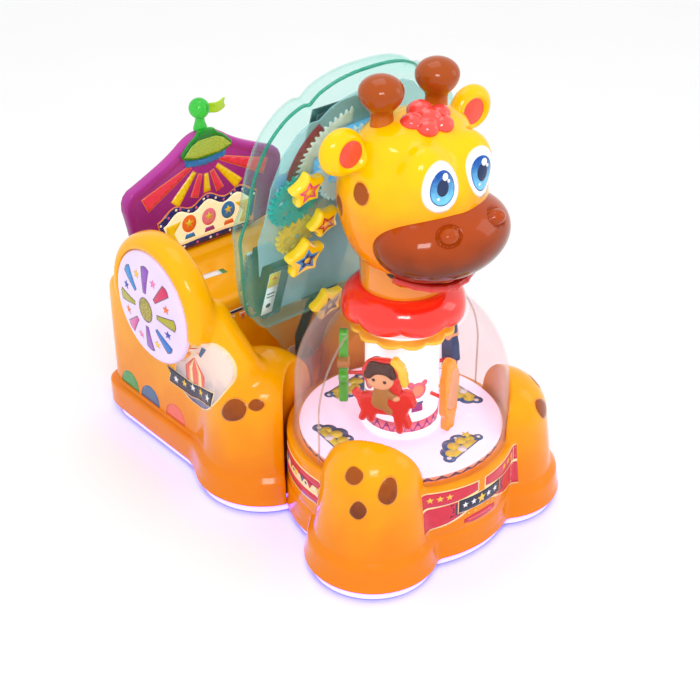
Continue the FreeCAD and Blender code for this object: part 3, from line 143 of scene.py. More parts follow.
def skin(field, lo, hi, cell):
    """Vertices and faces of a field's zero surface, on a grid of cells."""
    axes = [np.arange(lo[i], hi[i] + cell, cell) for i in range(3)]
    x, y, z = np.meshgrid(*axes, indexing="ij")
    f = field(x, y, z).astype(np.float32)
    n = np.array(f.shape) - 1
    part = [slice(0, -1), slice(1, None)]
    corner = {(a, b, c): f[part[a], part[b], part[c]]
              for a in (0, 1) for b in (0, 1) for c in (0, 1)}
    count = sum((v < 0).astype(np.int8) for v in corner.values())
    live = (count > 0) & (count < 8)
    number = np.full(n, -1, dtype=np.int64)
    number[live] = np.arange(int(live.sum()))
    total = np.zeros((int(live.sum()), 3))
    hits = np.zeros(int(live.sum()))
    for a, b, c in corner:
        for axis in range(3):
            if (a, b, c)[axis]:
                continue
            other = [a, b, c]
            other[axis] = 1
            f0, f1 = corner[(a, b, c)][live], corner[tuple(other)][live]
            cut = (f0 < 0) != (f1 < 0)
            t = np.where(cut, f0 / np.where(cut, f0 - f1, 1), 0)
            p = np.tile(np.array([a, b, c], dtype=float), (len(f0), 1))
            p[:, axis] = t
            total += p * cut[:, None]
            hits += cut
    where = np.argwhere(live)
    verts = np.array(lo) + cell * (where + total / hits[:, None])
    faces = []
    for axis in range(3):
        u, v = [i for i in range(3) if i != axis]
        lead = [slice(1, -1)] * 3
        lead[axis] = slice(0, -1)
        tail = list(lead)
        tail[axis] = slice(1, None)
        s0, s1 = f[tuple(lead)] < 0, f[tuple(tail)] < 0
        base = np.argwhere(s0 != s1)
        flip = s0[s0 != s1]
        base[:, u] += 1
        base[:, v] += 1
        ring = []
        for du, dv in ((-1, -1), (0, -1), (0, 0), (-1, 0)):
            q = base.copy()
            q[:, u] += du
            q[:, v] += dv
            ring.append(number[q[:, 0], q[:, 1], q[:, 2]])
        quad = np.stack(ring, 1)
        turn = flip if axis != 1 else ~flip
        quad[~turn] = quad[~turn][:, ::-1]
        faces.append(quad)
    faces = np.concatenate(faces)
    for _ in range(2):
        e = cell * 0.25
        px, py, pz = verts.T
        d = field(px, py, pz)
        g = np.stack([field(px + e, py, pz) - field(px - e, py, pz),
                      field(px, py + e, pz) - field(px, py - e, pz),
                      field(px, py, pz + e) - field(px, py, pz - e)], 1)
        g /= 2 * e
        step = (d / np.maximum((g ** 2).sum(1), 0.2))[:, None] * g
        size = np.linalg.norm(step, axis=1, keepdims=True)
        verts = verts - step * np.minimum(1, cell * 0.6
                                          / np.maximum(size, 1e-9))
    return verts, faces


def shape(name, verts, faces, smooth=True):
    """A mesh object from vertices and faces."""
    mesh = bpy.data.meshes.new(name)
    mesh.from_pydata([tuple(v) for v in verts], [],
                     [tuple(int(i) for i in f) for f in faces])
    mesh.validate()
    if smooth:
        mesh.polygons.foreach_set("use_smooth", [True] * len(mesh.polygons))
        mesh.set_sharp_from_angle(angle=math.radians(50))
    ob = bpy.data.objects.new(name, mesh)
    bpy.context.scene.collection.objects.link(ob)
    return ob


def trim(ob, at, normal, *openings):
    """Cuts an object straight at a plane and opens it on the far side.

    Faces inside any of the openings, given as (low, high) corners, go too."""
    bm = bmesh.new()
    bm.from_mesh(ob.data)
    geom = bm.verts[:] + bm.edges[:] + bm.faces[:]
    bmesh.ops.bisect_plane(bm, geom=geom, plane_co=at, plane_no=normal,
                           clear_outer=True, dist=1e-5)
    for (x0, y0, z0), (x1, y1, z1) in openings:
        gone = [f for f in bm.faces
                if x0 < f.calc_center_median().x < x1
                and y0 < f.calc_center_median().y < y1
                and z0 < f.calc_center_median().z < z1]
        bmesh.ops.delete(bm, geom=gone, context="FACES")
    bm.to_mesh(ob.data)
    bm.free()


def thicken(ob, wall):
    """Gives an open skin its wall, inwards."""
    mod = ob.modifiers.new("wall", "SOLIDIFY")
    mod.thickness = wall
    mod.offset = -1


def declare(ob, mat, body, nodes):
    """Gives a piece its material and moving body, and hides its CAD nodes."""
    ob.data.materials.append(mat)
    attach(ob, body)
    if nodes:
        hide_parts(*nodes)
    return ob


def linear(code):
    """sRGB hex colour to the linear values Blender works in."""
    c = [int(code[i:i + 2], 16) / 255 for i in (1, 3, 5)]
    return tuple(v / 12.92 if v <= 0.04045 else ((v + 0.055) / 1.055) ** 2.4
                 for v in c) + (1.0,)


def node(tree, kind, inputs=None, **settings):
    """Adds a node with its settings, values and incoming links."""
    n = tree.nodes.new(kind)
    for key, value in settings.items():
        setattr(n, key, value)
    for key, value in (inputs or {}).items():
        if isinstance(value, bpy.types.NodeSocket):
            tree.links.new(value, n.inputs[key])
        else:
            n.inputs[key].default_value = value
    return n


def new_material(name):
    """An empty node material and its tree."""
    mat = bpy.data.materials.new(name)
    mat.use_nodes = True
    mat.node_tree.nodes.clear()
    return mat, mat.node_tree


def surface(name, low, high, rough, grain_mm, wave, detail=None,
            fade=None, spread=(0.8, 1.25), **more):
    """A solid material whose colour drifts from low to high.

    grain_mm is how wide the drift is and wave how high, in mm, the slow
    unevenness of the moulding; fade gives the heights at which low and high
    are reached, for colours graded by height, and spread how far the roughness
    wanders. detail and more set the noise and the shader's own sockets."""
    mat, tree = new_material(name)
    place = node(tree, "ShaderNodeTexCoord")
    drift = node(tree, "ShaderNodeTexNoise", {
        "Vector": place.outputs["Object"], "Scale": 1000.0 / grain_mm,
        "Detail": 2.0, **(detail or {})})
    share = drift.outputs["Fac"]
    if fade:
        z0, z1 = fade
        split = node(tree, "ShaderNodeSeparateXYZ",
                     {0: place.outputs["Object"]})
        soft = node(tree, "ShaderNodeMath", {
            0: share, 1: (z1 - z0) * 0.4, 2: split.outputs["Z"]},
            operation="MULTIPLY_ADD")
        share = node(tree, "ShaderNodeMapRange", {
            "Value": soft.outputs[0], "From Min": z0 + (z1 - z0) * 0.2,
            "From Max": z1 + (z1 - z0) * 0.2},
            interpolation_type="SMOOTHSTEP").outputs[0]
    tone = node(tree, "ShaderNodeMix", {
        0: share, 6: linear(low), 7: linear(high)}, data_type="RGBA")
    sockets = {"Base Color": tone.outputs[2], "Roughness": rough, **more}
    if not fade:
        sockets["Roughness"] = node(tree, "ShaderNodeMapRange", {
            "Value": drift.outputs["Fac"], "To Min": rough * spread[0],
            "To Max": rough * spread[1]}).outputs[0]
    if wave:
        sockets["Normal"] = node(tree, "ShaderNodeBump", {
            "Height": drift.outputs["Fac"], "Strength": 0.35,
            "Distance": wave / 1000.0}).outputs[0]
    skin_ = node(tree, "ShaderNodeBsdfPrincipled", sockets)
    node(tree, "ShaderNodeOutputMaterial", {"Surface": skin_.outputs[0]})
    return mat


def gloss(name, low, high, rough, grain_mm=60.0, wave=0.06, emit=None,
          emit_strength=0.0, coat=0.0):
    """Glossy moulded plastic that glows where emit is given: lit from inside
    in the lenses, carousel, strip and lit prints, painted light on the white
    gear.
    """
    glow = {"Emission Color": linear(emit),
            "Emission Strength": emit_strength} if emit else {}
    return surface(name, low, high, rough, grain_mm, wave,
                   {"Roughness": 0.45}, **glow,
                   **{"IOR": 1.5, "Coat Weight": coat,
                      "Coat Roughness": 0.04})


def graded_print_and_shade(name, low, high, z0, z1, rough, grain_mm=70.0, wave=0.3,
            coat=0.3):
    """Lacquered plastic whose colour runs from low at z0 to high at z1.

    On the orange shells and the muzzle this is painted shade below and painted
    light above; on the films it is the print's own gradient.
    """
    return surface(name, low, high, rough, grain_mm, wave, fade=(z0, z1),
                   **{"Specular IOR Level": 0.22, "IOR": 1.45,
                      "Coat Weight": coat, "Coat Roughness": 0.04,
                      "Coat IOR": 1.38})


# Orange polyethylene under clear gloss lacquer: wet, even shine, and the faint
# orange-peel unevenness of a rotational moulding. Its colour runs from deeper
# orange low down to yellower high up: painted shade below, painted light
# above.
orange = graded_print_and_shade("orange gloss-lacquered polyethylene", "#EA7E00", "#FFB200",
                 0.05, 0.50, 0.14, grain_mm=90.0, wave=0.5, coat=0.25)

SHELL_WALL = 0.004      # thickness of the moulded shells
RIM = 0.038             # lower edge of all shells
BAND = 0.112            # top of the thick band round the foot
DECK = 0.255
RING = 0.310
HOOVES = ((-0.226, -0.141), (0.226, -0.141))
DOME_SEAT = 0.281


def hoof_section(foot, neck, cap_z, top):
    """Section of a hoof or leg: thick foot band, cone, round cap."""
    low = RIM - 0.05
    out = [(-foot, low), (foot, low), (foot + 0.001, RIM + 0.004),
           (foot - 0.003, RIM + 0.018), (foot - 0.004, RIM + 0.024),
           (foot - 0.009, BAND - 0.012),
           (foot - 0.020, BAND), (foot - 0.026, BAND + 0.006)]
    for k in range(13):
        a = math.pi / 2 * k / 12
        out.append((neck * math.cos(a), cap_z + (top - cap_z) * math.sin(a)))
    return [(max(r, -foot), z) for r, z in out] + [(-foot, top)]


hoof_flat = outline_field(hoof_section(0.174, 0.128, 0.262, 0.390))
ring_flat = outline_field(
    [(-0.05, RIM - 0.05), (RING, RIM - 0.05), (RING + 0.001, RIM + 0.004),
     (RING - 0.002, RIM + 0.020), (RING - 0.004, BAND - 0.014),
     (RING - 0.009, BAND - 0.002), (0.3035, BAND + 0.006),
     (0.3015, DECK - 0.006), (0.298, DECK), (0.29, DECK + 0.001),
     (-0.05, DECK + 0.001)])


def platform_field(x, y, z):
    yy = y - AXIS_Y
    r = np.hypot(x, yy)
    body = ring_flat(r, z)
    for hx, hy in HOOVES:
        hoof = hoof_flat(np.hypot(x - hx, yy - hy), z)
        body = smooth_min(body, hoof, 0.012)
    seat = np.maximum(r - DOME_SEAT, DECK - 0.0005 - z)
    return smooth_max(body, -seat, 0.006)


verts, faces = skin(platform_field, (-0.41, -0.635, RIM - 0.02),
                    (0.41, 0.015, 0.40), 0.005)
platform = shape("front_platform", verts, faces)
trim(platform, (0, 0, RIM), (0, 0, -1), ((-0.21, -0.40, 0), (0.21, 0.1, 0.1)))
thicken(platform, SHELL_WALL)
declare(platform, orange, "ride", ["front_platform"])

# ---------------------------------------------------------------------------
# Side pods: middle leg, sill, wheel arch and rear skirt in one moulding a
# side, of the same lacquered polyethylene, bolted to the ride frame rails.
# ---------------------------------------------------------------------------
LEG = (0.205, 0.330)
WHEEL = (0.571, 0.503)
CABIN = 0.250
leg_flat = outline_field(hoof_section(0.195, 0.152, 0.262, 0.398))
band_flat = outline_field(rounded(
    [(CABIN, 0.24), (0.357, 0.24), (0.357, 0.50), (0.357, 0.78),
     (0.355, 0.87), (0.333, 0.915), (0.29, 0.930), (CABIN, 0.930)], 2))
side_flat = outline_field(rounded(
    [(0.28, -0.02), (0.912, -0.02), (0.912, 0.30), (0.908, 0.43),
     (0.870, 0.468), (0.815, 0.474), (0.770, 0.520), (0.730, 0.60),
     (0.571, 0.640), (0.430, 0.600), (0.408, 0.515), (0.360, 0.450),
     (0.310, 0.385), (0.285, 0.33)], 2))
wall_plan = outline_field(rounded(
    [(CABIN, 0.2), (0.338, 0.2), (0.338, 0.5), (0.338, 0.80),
     (0.334, 0.87), (0.31, 0.905), (0.28, 0.912), (CABIN, 0.912)], 2))
arch_flat = outline_field(rounded(
    [(0.296, -0.05), (0.296, 0.150), (0.300, 0.182), (0.314, 0.198),
     (0.338, 0.202), (0.362, 0.199), (0.378, 0.188), (0.385, 0.172),
     (0.378, 0.150), (0.378, -0.05)], 2))
seat_side = outline_field(rounded(
    [(0.24, -0.05), (0.24, 0.452), (0.285, 0.454), (0.305, 0.47),
     (0.312, 0.52), (0.314, 0.70), (0.42, 0.70), (0.42, -0.05)], 2))


def pod_field(x, y, z):
    yy = y - AXIS_Y
    leg = leg_flat(np.hypot(x - LEG[0], yy - LEG[1]), z)
    band = slab(band_flat(x, yy), z - 0.031, BAND - 0.031, 0.010)
    side = smooth_max(side_flat(yy, z), wall_plan(x, yy), 0.040)
    side = smooth_max(side, CABIN - x, 0.012)
    side = smooth_max(side, seat_side(x, z), 0.010)
    crest = rod_field(x, yy, z, (0.292, 0.420, 0.520),
                      (0.268, 0.318, 0.392), 0.040, 0.045)
    arch = arch_flat(x, np.hypot(yy - WHEEL[0], z - WHEEL[1]))
    arch = smooth_max(arch, WHEEL[1] - 0.05 - z, 0.03)
    hub = slab(np.hypot(yy - WHEEL[0], z - WHEEL[1]) - 0.160, x - 0.338,
               0.034, 0.006)
    body = smooth_min(side, crest, 0.030)
    body = smooth_min(body, arch, 0.018)
    body = smooth_min(body, hub, 0.008)
    body = smooth_min(body, band, 0.006)
    body = smooth_min(body, leg, 0.030)
    body = smooth_max(body, 0.3106 - np.hypot(x, yy), 0.004)
    pocket = slab(np.hypot(yy - WHEEL[0], z - WHEEL[1]) - 0.1635,
                  x - 0.402, 0.030, 0.002)
    return smooth_max(body, -pocket, 0.004)


verts, faces = skin(pod_field, (0.0, -0.185, RIM - 0.02),
                    (0.41, 0.635, 0.72), 0.005)
for side, sign in (("left", 1), ("right", -1)):
    order = faces if sign > 0 else faces[:, ::-1]
    pod = shape("side_pod_" + side, verts * (sign, 1, 1), order)
    trim(pod, (0, 0, RIM), (0, 0, -1),
         ((-0.21, -0.2, 0), (0.21, 0.57, 0.1)))
    thicken(pod, SHELL_WALL)
    declare(pod, orange, "ride", ["side_pod_" + side])
    if sign < 0:
        near_pod = pod
    else:
        far_pod = pod

# ---------------------------------------------------------------------------
# Cabin tub: floor, seat riser, seat, rear deck and back wall in one moulding
# between the pods, same polyethylene, carried on the ride frame.
# ---------------------------------------------------------------------------


def solid(name, field, lo, hi, cell, mat, body, nodes):
    v, f = skin(lambda x, y, z: field(x, y - AXIS_Y, z),
                (lo[0], lo[1] + AXIS_Y, lo[2]),
                (hi[0], hi[1] + AXIS_Y, hi[2]), cell)
    ob = shape(name, v, f)
    ob.data.materials.append(mat)
    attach(ob, body)
    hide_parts(*nodes)
    return ob


door_lo, door_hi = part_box("cash_door")
plate_lo, plate_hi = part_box("power_panel")
tub_flat = outline_field(rounded(
    [(0.232, 0.099), (0.232, 0.104), (0.236, 0.108), (0.516, 0.108),
     (0.532, 0.126), (0.548, 0.40), (0.545, 0.432), (0.560, 0.452),
     (0.80, 0.452), (0.818, 0.462), (0.83, 0.470), (0.885, 0.470),
     (0.908, 0.46), (0.912, 0.43), (0.912, 0.099)], 2))


def tub_field(x, y, z):
    body = slab(tub_flat(y, z), x, 0.2495, 0.004)
    band = slab(np.maximum(np.abs(y - 0.80) - 0.130, np.abs(z - 0.0) - 0.112),
                x, 0.2495, 0.004)
    body = smooth_min(body, np.maximum(band, 0.60 - y), 0.006)
    well = np.maximum(np.maximum(door_lo.x - 0.001 - x, x - door_hi.x - 0.001),
                      np.maximum(door_lo.z - 0.001 - z, z - door_hi.z - 0.001))
    body = np.maximum(body, -np.maximum(well, 0.888 - y))
    plate = np.maximum(
        np.maximum(plate_lo.x + 0.001 - x, x - plate_hi.x + 0.001),
        np.maximum(plate_lo.z + 0.001 - z, z - plate_hi.z + 0.001))
    return np.maximum(body, -np.maximum(plate, 0.890 - y))


tub = solid("cabin_tub_skin", tub_field, (-0.26, 0.22, RIM - 0.02),
            (0.26, 0.945, 0.49), 0.005, orange, "ride", ["cabin_tub"])
trim(tub, (0, 0, RIM), (0, 0, -1),
     ((-0.247, -0.2, 0), (0.247, 0.57, 0.1035)),
     ((0.244, -0.2, 0), (0.26, 0.6178, 0.1035)),
     ((-0.26, -0.2, 0), (-0.244, 0.6178, 0.1035)),
     ((door_lo.x - 0.003, 0.575, door_lo.z - 0.003),
      (door_hi.x + 0.003, 0.6032, door_hi.z + 0.003)))
thicken(tub, SHELL_WALL)

# ---------------------------------------------------------------------------
# Head: one hollow rotational moulding of yellow polyethylene, its colour
# deeper orange towards the bottom, bolted to the front of the console over the
# neck.
# ---------------------------------------------------------------------------
LEAN = math.radians(18.26)
CASE_FOOT = (0.36, 0.5)


def in_case(y, z):
    """Console coordinates (back, up) of a point behind the dome axis."""
    dy, dz = y - CASE_FOOT[0], z - CASE_FOOT[1]
    return (dy * math.cos(LEAN) + dz * math.sin(LEAN),
            -dy * math.sin(LEAN) + dz * math.cos(LEAN))


def from_case(x, w, v):
    """Model place of console coordinates (across, back, up)."""
    return Vector((x, AXIS_Y + CASE_FOOT[0] + w * math.cos(LEAN)
                   - v * math.sin(LEAN),
                   CASE_FOOT[1] + w * math.sin(LEAN) + v * math.cos(LEAN)))


SKULL = ((0, -0.02, 0.940), (0.182, 0.182, 0.200))
EYE_X, EYE_Z = 0.069, 1.026


def on_egg(c, r, d):
    """Where a ray from an ellipsoid's middle leaves it."""
    d = np.array(d, dtype=float)
    k = math.sqrt(sum((d[i] / r[i]) ** 2 for i in range(3)))
    return np.array(c) + d / k


def head_field(x, y, z):
    body = egg(x, y, z, *SKULL)
    cheeks = egg(x, y, z, (0, -0.045, 0.850), (0.158, 0.150, 0.105))
    body = smooth_min(body, cheeks, 0.05)
    for s in (-1, 1):
        socket = egg(x, y, z, (s * 0.068, -0.126, EYE_Z),
                     (0.066, 0.058, 0.078))
        body = smooth_min(body, socket, 0.02)
        root = egg(x, y, z, (s * 0.076, -0.022, 1.082),
                   (0.074, 0.070, 0.046))
        body = smooth_min(body, root, 0.035)
        last = None
        for k in range(7):
            a = math.radians(38 + 104 * k / 6)
            d = (s * EYE_X + 0.056 * math.cos(a) * s, -0.150,
                 EYE_Z - 0.940 + 0.006 + 0.072 * math.sin(a))
            p = on_egg(SKULL[0], [q + 0.0015 for q in SKULL[1]], d)
            if last is not None:
                body = smooth_min(body, rod_field(x, y, z, last, p, 0.0042,
                                                  0.0042), 0.006)
            last = p
    w, _ = in_case(y, z)
    return smooth_max(body, w + 0.0725, 0.010)


yellow = graded_print_and_shade("yellow polyethylene, deeper orange towards the bottom", "#F58800",
                 "#FFC400", 0.84, 1.06, 0.12)
head = solid("head_skin", head_field, (-0.20, -0.225, 0.71),
             (0.20, 0.20, 1.16), 0.004, yellow, "ride", ["head_shell"])

# Jaw and red lip below the muzzle, with a dark body between them standing for
# the painted shade in the mouth gap; the muzzle itself is a second hollow
# moulding in chocolate brown, screwed on from behind.
# The muzzle's chocolate runs darker towards the bottom: painted shade under
# its round.
brown = graded_print_and_shade("chocolate polyethylene with painted shade below", "#561E06",
                "#AC4206", 0.79, 0.93, 0.10)
MUZZLE = ((0, -0.126, 0.864), (0.186, 0.138, 0.103))


def muzzle_field(x, y, z):
    body = egg(x, y, z, *MUZZLE)
    dip = egg(x, y, z, (0, -0.165, 1.040), (0.055, 0.12, 0.080))
    body = smooth_max(body, -dip, 0.03)
    for s in (-1, 1):
        c = (s * 0.076, -0.2245, 0.918)
        bump = egg(x, y, z, c, (0.025, 0.021, 0.019))
        rim = np.maximum(np.abs(bump - 0.0045) - 0.0028,
                         np.abs(body) - 0.005)
        body = smooth_max(body, -rim, 0.003)
        body = smooth_min(body, bump, 0.002)
    return body


solid("muzzle_skin", muzzle_field, (-0.20, -0.28, 0.75),
               (0.20, 0.03, 0.99), 0.004, brown, "ride", ["muzzle"])
lip_red = gloss("red gloss-lacquered lip", "#C8180E", "#E02414", 0.15,
                coat=0.4)


def lip_field(x, y, z):
    body = None
    last = None
    for k in range(9):
        u = -1 + k / 4
        p = (0.132 * u, -0.181 + 0.066 * u * u, 0.7475 + 0.033 * u * u)
        if last is not None:
            d = rod_field(x, y, z, last, p, 0.0105, 0.0105)
            body = d if body is None else smooth_min(body, d, 0.004)
        last = p
    return body


solid("lip_skin", lip_field, (-0.155, -0.20, 0.73), (0.155, -0.08, 0.81),
      0.0025, lip_red, "ride", [])
# A dark egg in the gap between muzzle and jaw: painted shade in the mouth.
mouth_gap_shade = gloss("painted shade in the mouth gap", "#2A0C08", "#3A120C", 0.4)
solid("mouth_skin", lambda x, y, z: egg(x, y, z, (0, -0.085, 0.775),
                                        (0.125, 0.078, 0.030)),
      (-0.14, -0.18, 0.73), (0.14, 0.01, 0.82), 0.004, mouth_gap_shade, "ride",
      [])
solid("jaw_skin", lambda x, y, z: smooth_max(
    egg(x, y, z, (0, -0.070, 0.765), (0.128, 0.098, 0.042)),
    z - 0.752 + 0.1 * (y + 0.16), 0.006),
    (-0.14, -0.18, 0.71), (0.14, 0.04, 0.80), 0.004, yellow, "ride", [])


def ears_field(x, y, z):
    ax = np.abs(x)
    ear = egg(ax, y, z, (0.206, -0.002, 1.088), (0.060, 0.036, 0.056))
    root = rod_field(ax, y, z, (0.110, 0.0, 1.040), (0.175, -0.002, 1.068),
                     0.036, 0.030)
    ear = smooth_min(ear, root, 0.022)
    bowl = egg(ax, y, z, (0.196, -0.046, 1.086), (0.043, 0.036, 0.041))
    return smooth_max(ear, -bowl, 0.008)


solid("ears_skin", ears_field, (-0.28, -0.06, 0.98),
             (0.28, 0.06, 1.16), 0.003, yellow, "ride", ["ears"])
coral = gloss("coral red lacquered ear lining", "#F03A28", "#FF5A44", 0.25,
              grain_mm=30.0)
solid("ear_linings", lambda x, y, z: egg(
    np.abs(x), y, z, (0.196, -0.0195, 1.086), (0.040, 0.008, 0.038)),
    (-0.25, -0.03, 1.03), (0.25, 0.01, 1.14), 0.003, coral, "ride", [])

horn_brown = graded_print_and_shade("chestnut gloss-lacquered horn", "#C86A14", "#A4480F",
                     1.125, 1.165, 0.10)


def horns_field(x, y, z):
    ax = np.abs(x)
    cap = egg(ax, y, z, (0.088, -0.004, 1.203), (0.0525, 0.0525, 0.0375))
    cap = smooth_min(cap, egg(ax, y, z, (0.088, -0.004, 1.190),
                              (0.042, 0.042, 0.040)), 0.02)
    stem = rod_field(ax, y, z, (0.084, -0.006, 1.09), (0.088, -0.004, 1.19),
                     0.029, 0.025)
    foot = rod_field(ax, y, z, (0.080, -0.008, 1.07), (0.083, -0.006, 1.10),
                     0.044, 0.028)
    return smooth_min(cap, smooth_min(stem, foot, 0.015), 0.010)


solid("horns_skin", horns_field, (-0.15, -0.07, 1.04), (0.15, 0.06, 1.26),
      0.003, horn_brown, "ride", ["horns"])
tuft_red = gloss("red gloss-lacquered forelock", "#E8382E", "#F85048", 0.15,
                 grain_mm=40.0, coat=0.5)


def tuft_field(x, y, z):
    body = None
    for cx, cy, cz, r in ((-0.042, -0.056, 1.131, 0.027),
                          (-0.022, -0.088, 1.121, 0.028),
                          (0.022, -0.090, 1.120, 0.029),
                          (0.046, -0.056, 1.130, 0.027),
                          (0.001, -0.066, 1.136, 0.029),
                          (0.002, -0.038, 1.143, 0.032)):
        d = egg(x, y, z, (cx, cy, cz), (r, r, r * 0.80))
        body = d if body is None else smooth_min(body, d, 0.004)
    return body


solid("forelock_skin", tuft_field, (-0.08, -0.13, 1.08), (0.09, 0.01, 1.185),
      0.0025, tuft_red, "ride", ["tuft"])

# ---------------------------------------------------------------------------
# Printed films: eyes, spots, rays and pictures are die-cut vinyl laid on the
# mouldings, half a millimetre thick.
# ---------------------------------------------------------------------------


def tree_of(ob):
    return BVHTree.FromPolygons([v.co for v in ob.data.vertices],
                                [p.vertices for p in ob.data.polygons])


def plane(at, out, up_dir=(0, 0, 1)):
    """A flat working frame at a dome-axis place, facing out."""
    n = Vector(out).normalized()
    u = Vector(up_dir).cross(n).normalized()
    return Vector((at[0], at[1] + AXIS_Y, at[2])), u, n.cross(u)


def film(name, onto, body, cuts, nodes=(), level0=0.0004,
         wall=0.0006, pitch=0.006):
    """Films laid on a surface: cuts are (frame, outline, material, level).

    Each outline is drawn in the frame's own across and up; a higher level
    lies on the ones below it."""
    ground = onto if isinstance(onto, BVHTree) else tree_of(onto)
    verts_, faces_, index, mats_ = [], [], [], []
    for (at, u, v), outline, mat, level in cuts:
        n = u.cross(v)
        if mat not in mats_:
            mats_.append(mat)
        bm = bmesh.new()
        bm.faces.new([bm.verts.new((a, b, 0)) for a, b in outline])
        lo = np.min(np.array(outline), axis=0)
        hi = np.max(np.array(outline), axis=0)
        for axis, no in ((0, (1, 0, 0)), (1, (0, 1, 0))):
            k = lo[axis] + pitch
            while k < hi[axis] - pitch * 0.3:
                co = (k, 0, 0) if axis == 0 else (0, k, 0)
                bmesh.ops.bisect_plane(
                    bm, geom=bm.verts[:] + bm.edges[:] + bm.faces[:],
                    plane_co=co, plane_no=no, dist=1e-6)
                k += pitch
        bmesh.ops.triangulate(bm, faces=bm.faces[:])
        bm.normal_update()
        base, place = len(verts_), {}
        for p in bm.verts:
            start = at + u * p.co.x + v * p.co.y + n * 0.06
            hit, normal, _, _ = ground.ray_cast(start, -n, 0.14)
            if hit is None:
                continue
            if normal.dot(n) < 0:
                normal = -normal
            place[p.index] = len(verts_)
            verts_.append(hit + normal * (level0 + level * 0.0003))
        bm.verts.index_update()
        for f in bm.faces:
            ids = [place.get(q.index) for q in f.verts]
            if None in ids:
                continue
            if f.normal.z < 0:
                ids.reverse()
            faces_.append(ids)
            index.append(mats_.index(mat))
        bm.free()
    ob = shape(name, verts_, faces_)
    for m in mats_:
        ob.data.materials.append(m)
    ob.data.polygons.foreach_set("material_index", index)
    thicken(ob, wall)
    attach(ob, body)
    if nodes:
        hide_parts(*nodes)
    return ob


def moved(outline, dx, dy, turn=0.0, sx=1.0, sy=None):
    sy = sx if sy is None else sy
    c, s = math.cos(turn), math.sin(turn)
    return [(dx + a * sx * c - b * sy * s, dy + a * sx * s + b * sy * c)
            for a, b in outline]


def disc(r, n=28, ry=None):
    return [(r * math.cos(2 * math.pi * k / n),
             (ry or r) * math.sin(2 * math.pi * k / n)) for k in range(n)]


def star(r, inner=0.45, points=5, turn=math.pi / 2, soft=0):
    pts = []
    for k in range(points * 2):
        q = r if k % 2 == 0 else r * inner
        a = turn + math.pi * k / points
        pts.append((q * math.cos(a), q * math.sin(a)))
    return [tuple(p) for p in rounded(pts, soft)] if soft else pts


def ink(name, low, high, rough=0.18, emit=None, strength=0.0):
    return gloss(name, low, high, rough, grain_mm=18.0, wave=0.01,
                 emit=emit, emit_strength=strength)


eye_white = ink("white eye film", "#F4F6FA", "#FFFFFF")
eye_rim = ink("pale eye rim", "#FFD9A8", "#FFE2B8")
iris = graded_print_and_shade("blue iris film", "#7CD4FA", "#0C4CA8", 0.975, 1.060, 0.12,
               grain_mm=12.0, wave=0.01)
iris_rim = ink("dark blue iris edge film", "#1454A8", "#1C64BC")
pupil = ink("dark blue pupil film", "#06244E", "#0A2C5E")
eyes = []
for s in (-1, 1):
    spot = plane((s * 0.070, -0.20, 1.026), (s * 0.24, -0.94, 0.24))
    eyes += [
        (spot, disc(0.0505, 44, 0.0610), eye_rim, 0),
        (spot, disc(0.0480, 44, 0.0585), eye_white, 1),
        (spot, moved(disc(0.0345, 40, 0.0420), -s * 0.003, -0.003),
         iris_rim, 2),
        (spot, moved(disc(0.0325, 40, 0.0400), -s * 0.003, -0.003),
         iris, 3),
        (spot, moved(disc(0.0165, 30, 0.0205), -s * 0.003, -0.001),
         pupil, 4),
        (spot, moved(disc(0.0088, 22), -s * 0.003 + 0.008, 0.022),
         eye_white, 5),
        (spot, moved(disc(0.0042, 16), -s * 0.003 + 0.0175, 0.011),
         eye_white, 5),
        (spot, moved(disc(0.0036, 16), -s * 0.003 - 0.012, -0.026),
         eye_white, 5)]
film("eyes_film", head, "ride", eyes, ["eyes"], pitch=0.005)


def patch(r, seed):
    """A giraffe's spot: uneven five- or six-sided, corners rounded."""
    dice = np.random.default_rng(seed)
    n = 4 + seed % 2
    pts = []
    for k in range(n):
        a = 2 * math.pi * (k + dice.uniform(-0.18, 0.18)) / n
        q = 1.42 * r * dice.uniform(0.80, 1.16)
        pts.append((q * math.cos(a), q * math.sin(a)))
    return [tuple(p) for p in rounded(pts, 2)]


spot_brown = graded_print_and_shade("printed chocolate spots", "#642604", "#A04C06", 0.2,
                     0.36, 0.18, grain_mm=14.0, wave=0.01)
spot_edge = ink("printed spot edge", "#E88A10", "#F09A18")


def spots(frames):
    cuts = []
    for at, out, r, seed, stretch, turn in frames:
        spot = plane(at, out)
        shape_ = moved(patch(r, seed), 0, 0, turn, 1.0, stretch)
        cuts.append((spot, moved(shape_, 0, 0, 0, 1.14), spot_edge, 0))
        cuts.append((spot, shape_, spot_brown, 1))
    return cuts


film("head_spots", head, "ride", spots([
    ((-0.169, 0.048, 0.926), (-0.92, 0.38, 0), 0.020, 4, 1.4, 0.2),
    ((-0.177, -0.037, 0.986), (-0.98, -0.10, 0.15), 0.017, 7, 1.35, 0.1),
    ((0.169, 0.048, 0.926), (0.92, 0.38, 0), 0.020, 5, 1.4, -0.2),
    ((0.177, -0.037, 0.986), (0.98, -0.10, 0.15), 0.017, 8, 1.35, -0.1)]))
hoof_spots = []
for s in (-1, 1):
    hoof_spots += spots([
        ((s * 0.3186, -0.180, 0.341), (s * 0.73, -0.27, 0.62), 0.022, 2,
         1.15, -s * 0.5),
        ((s * 0.275, -0.250, 0.306), (s * 0.39, -0.86, 0.32), 0.024, 3,
         1.25, s * 0.5),
        ((s * 0.3346, -0.209, 0.261), (s * 0.84, -0.53, 0.08), 0.021, 6,
         1.2, 0.1)])
film("hoof_spots", platform, "ride", hoof_spots)
leg_spots = []
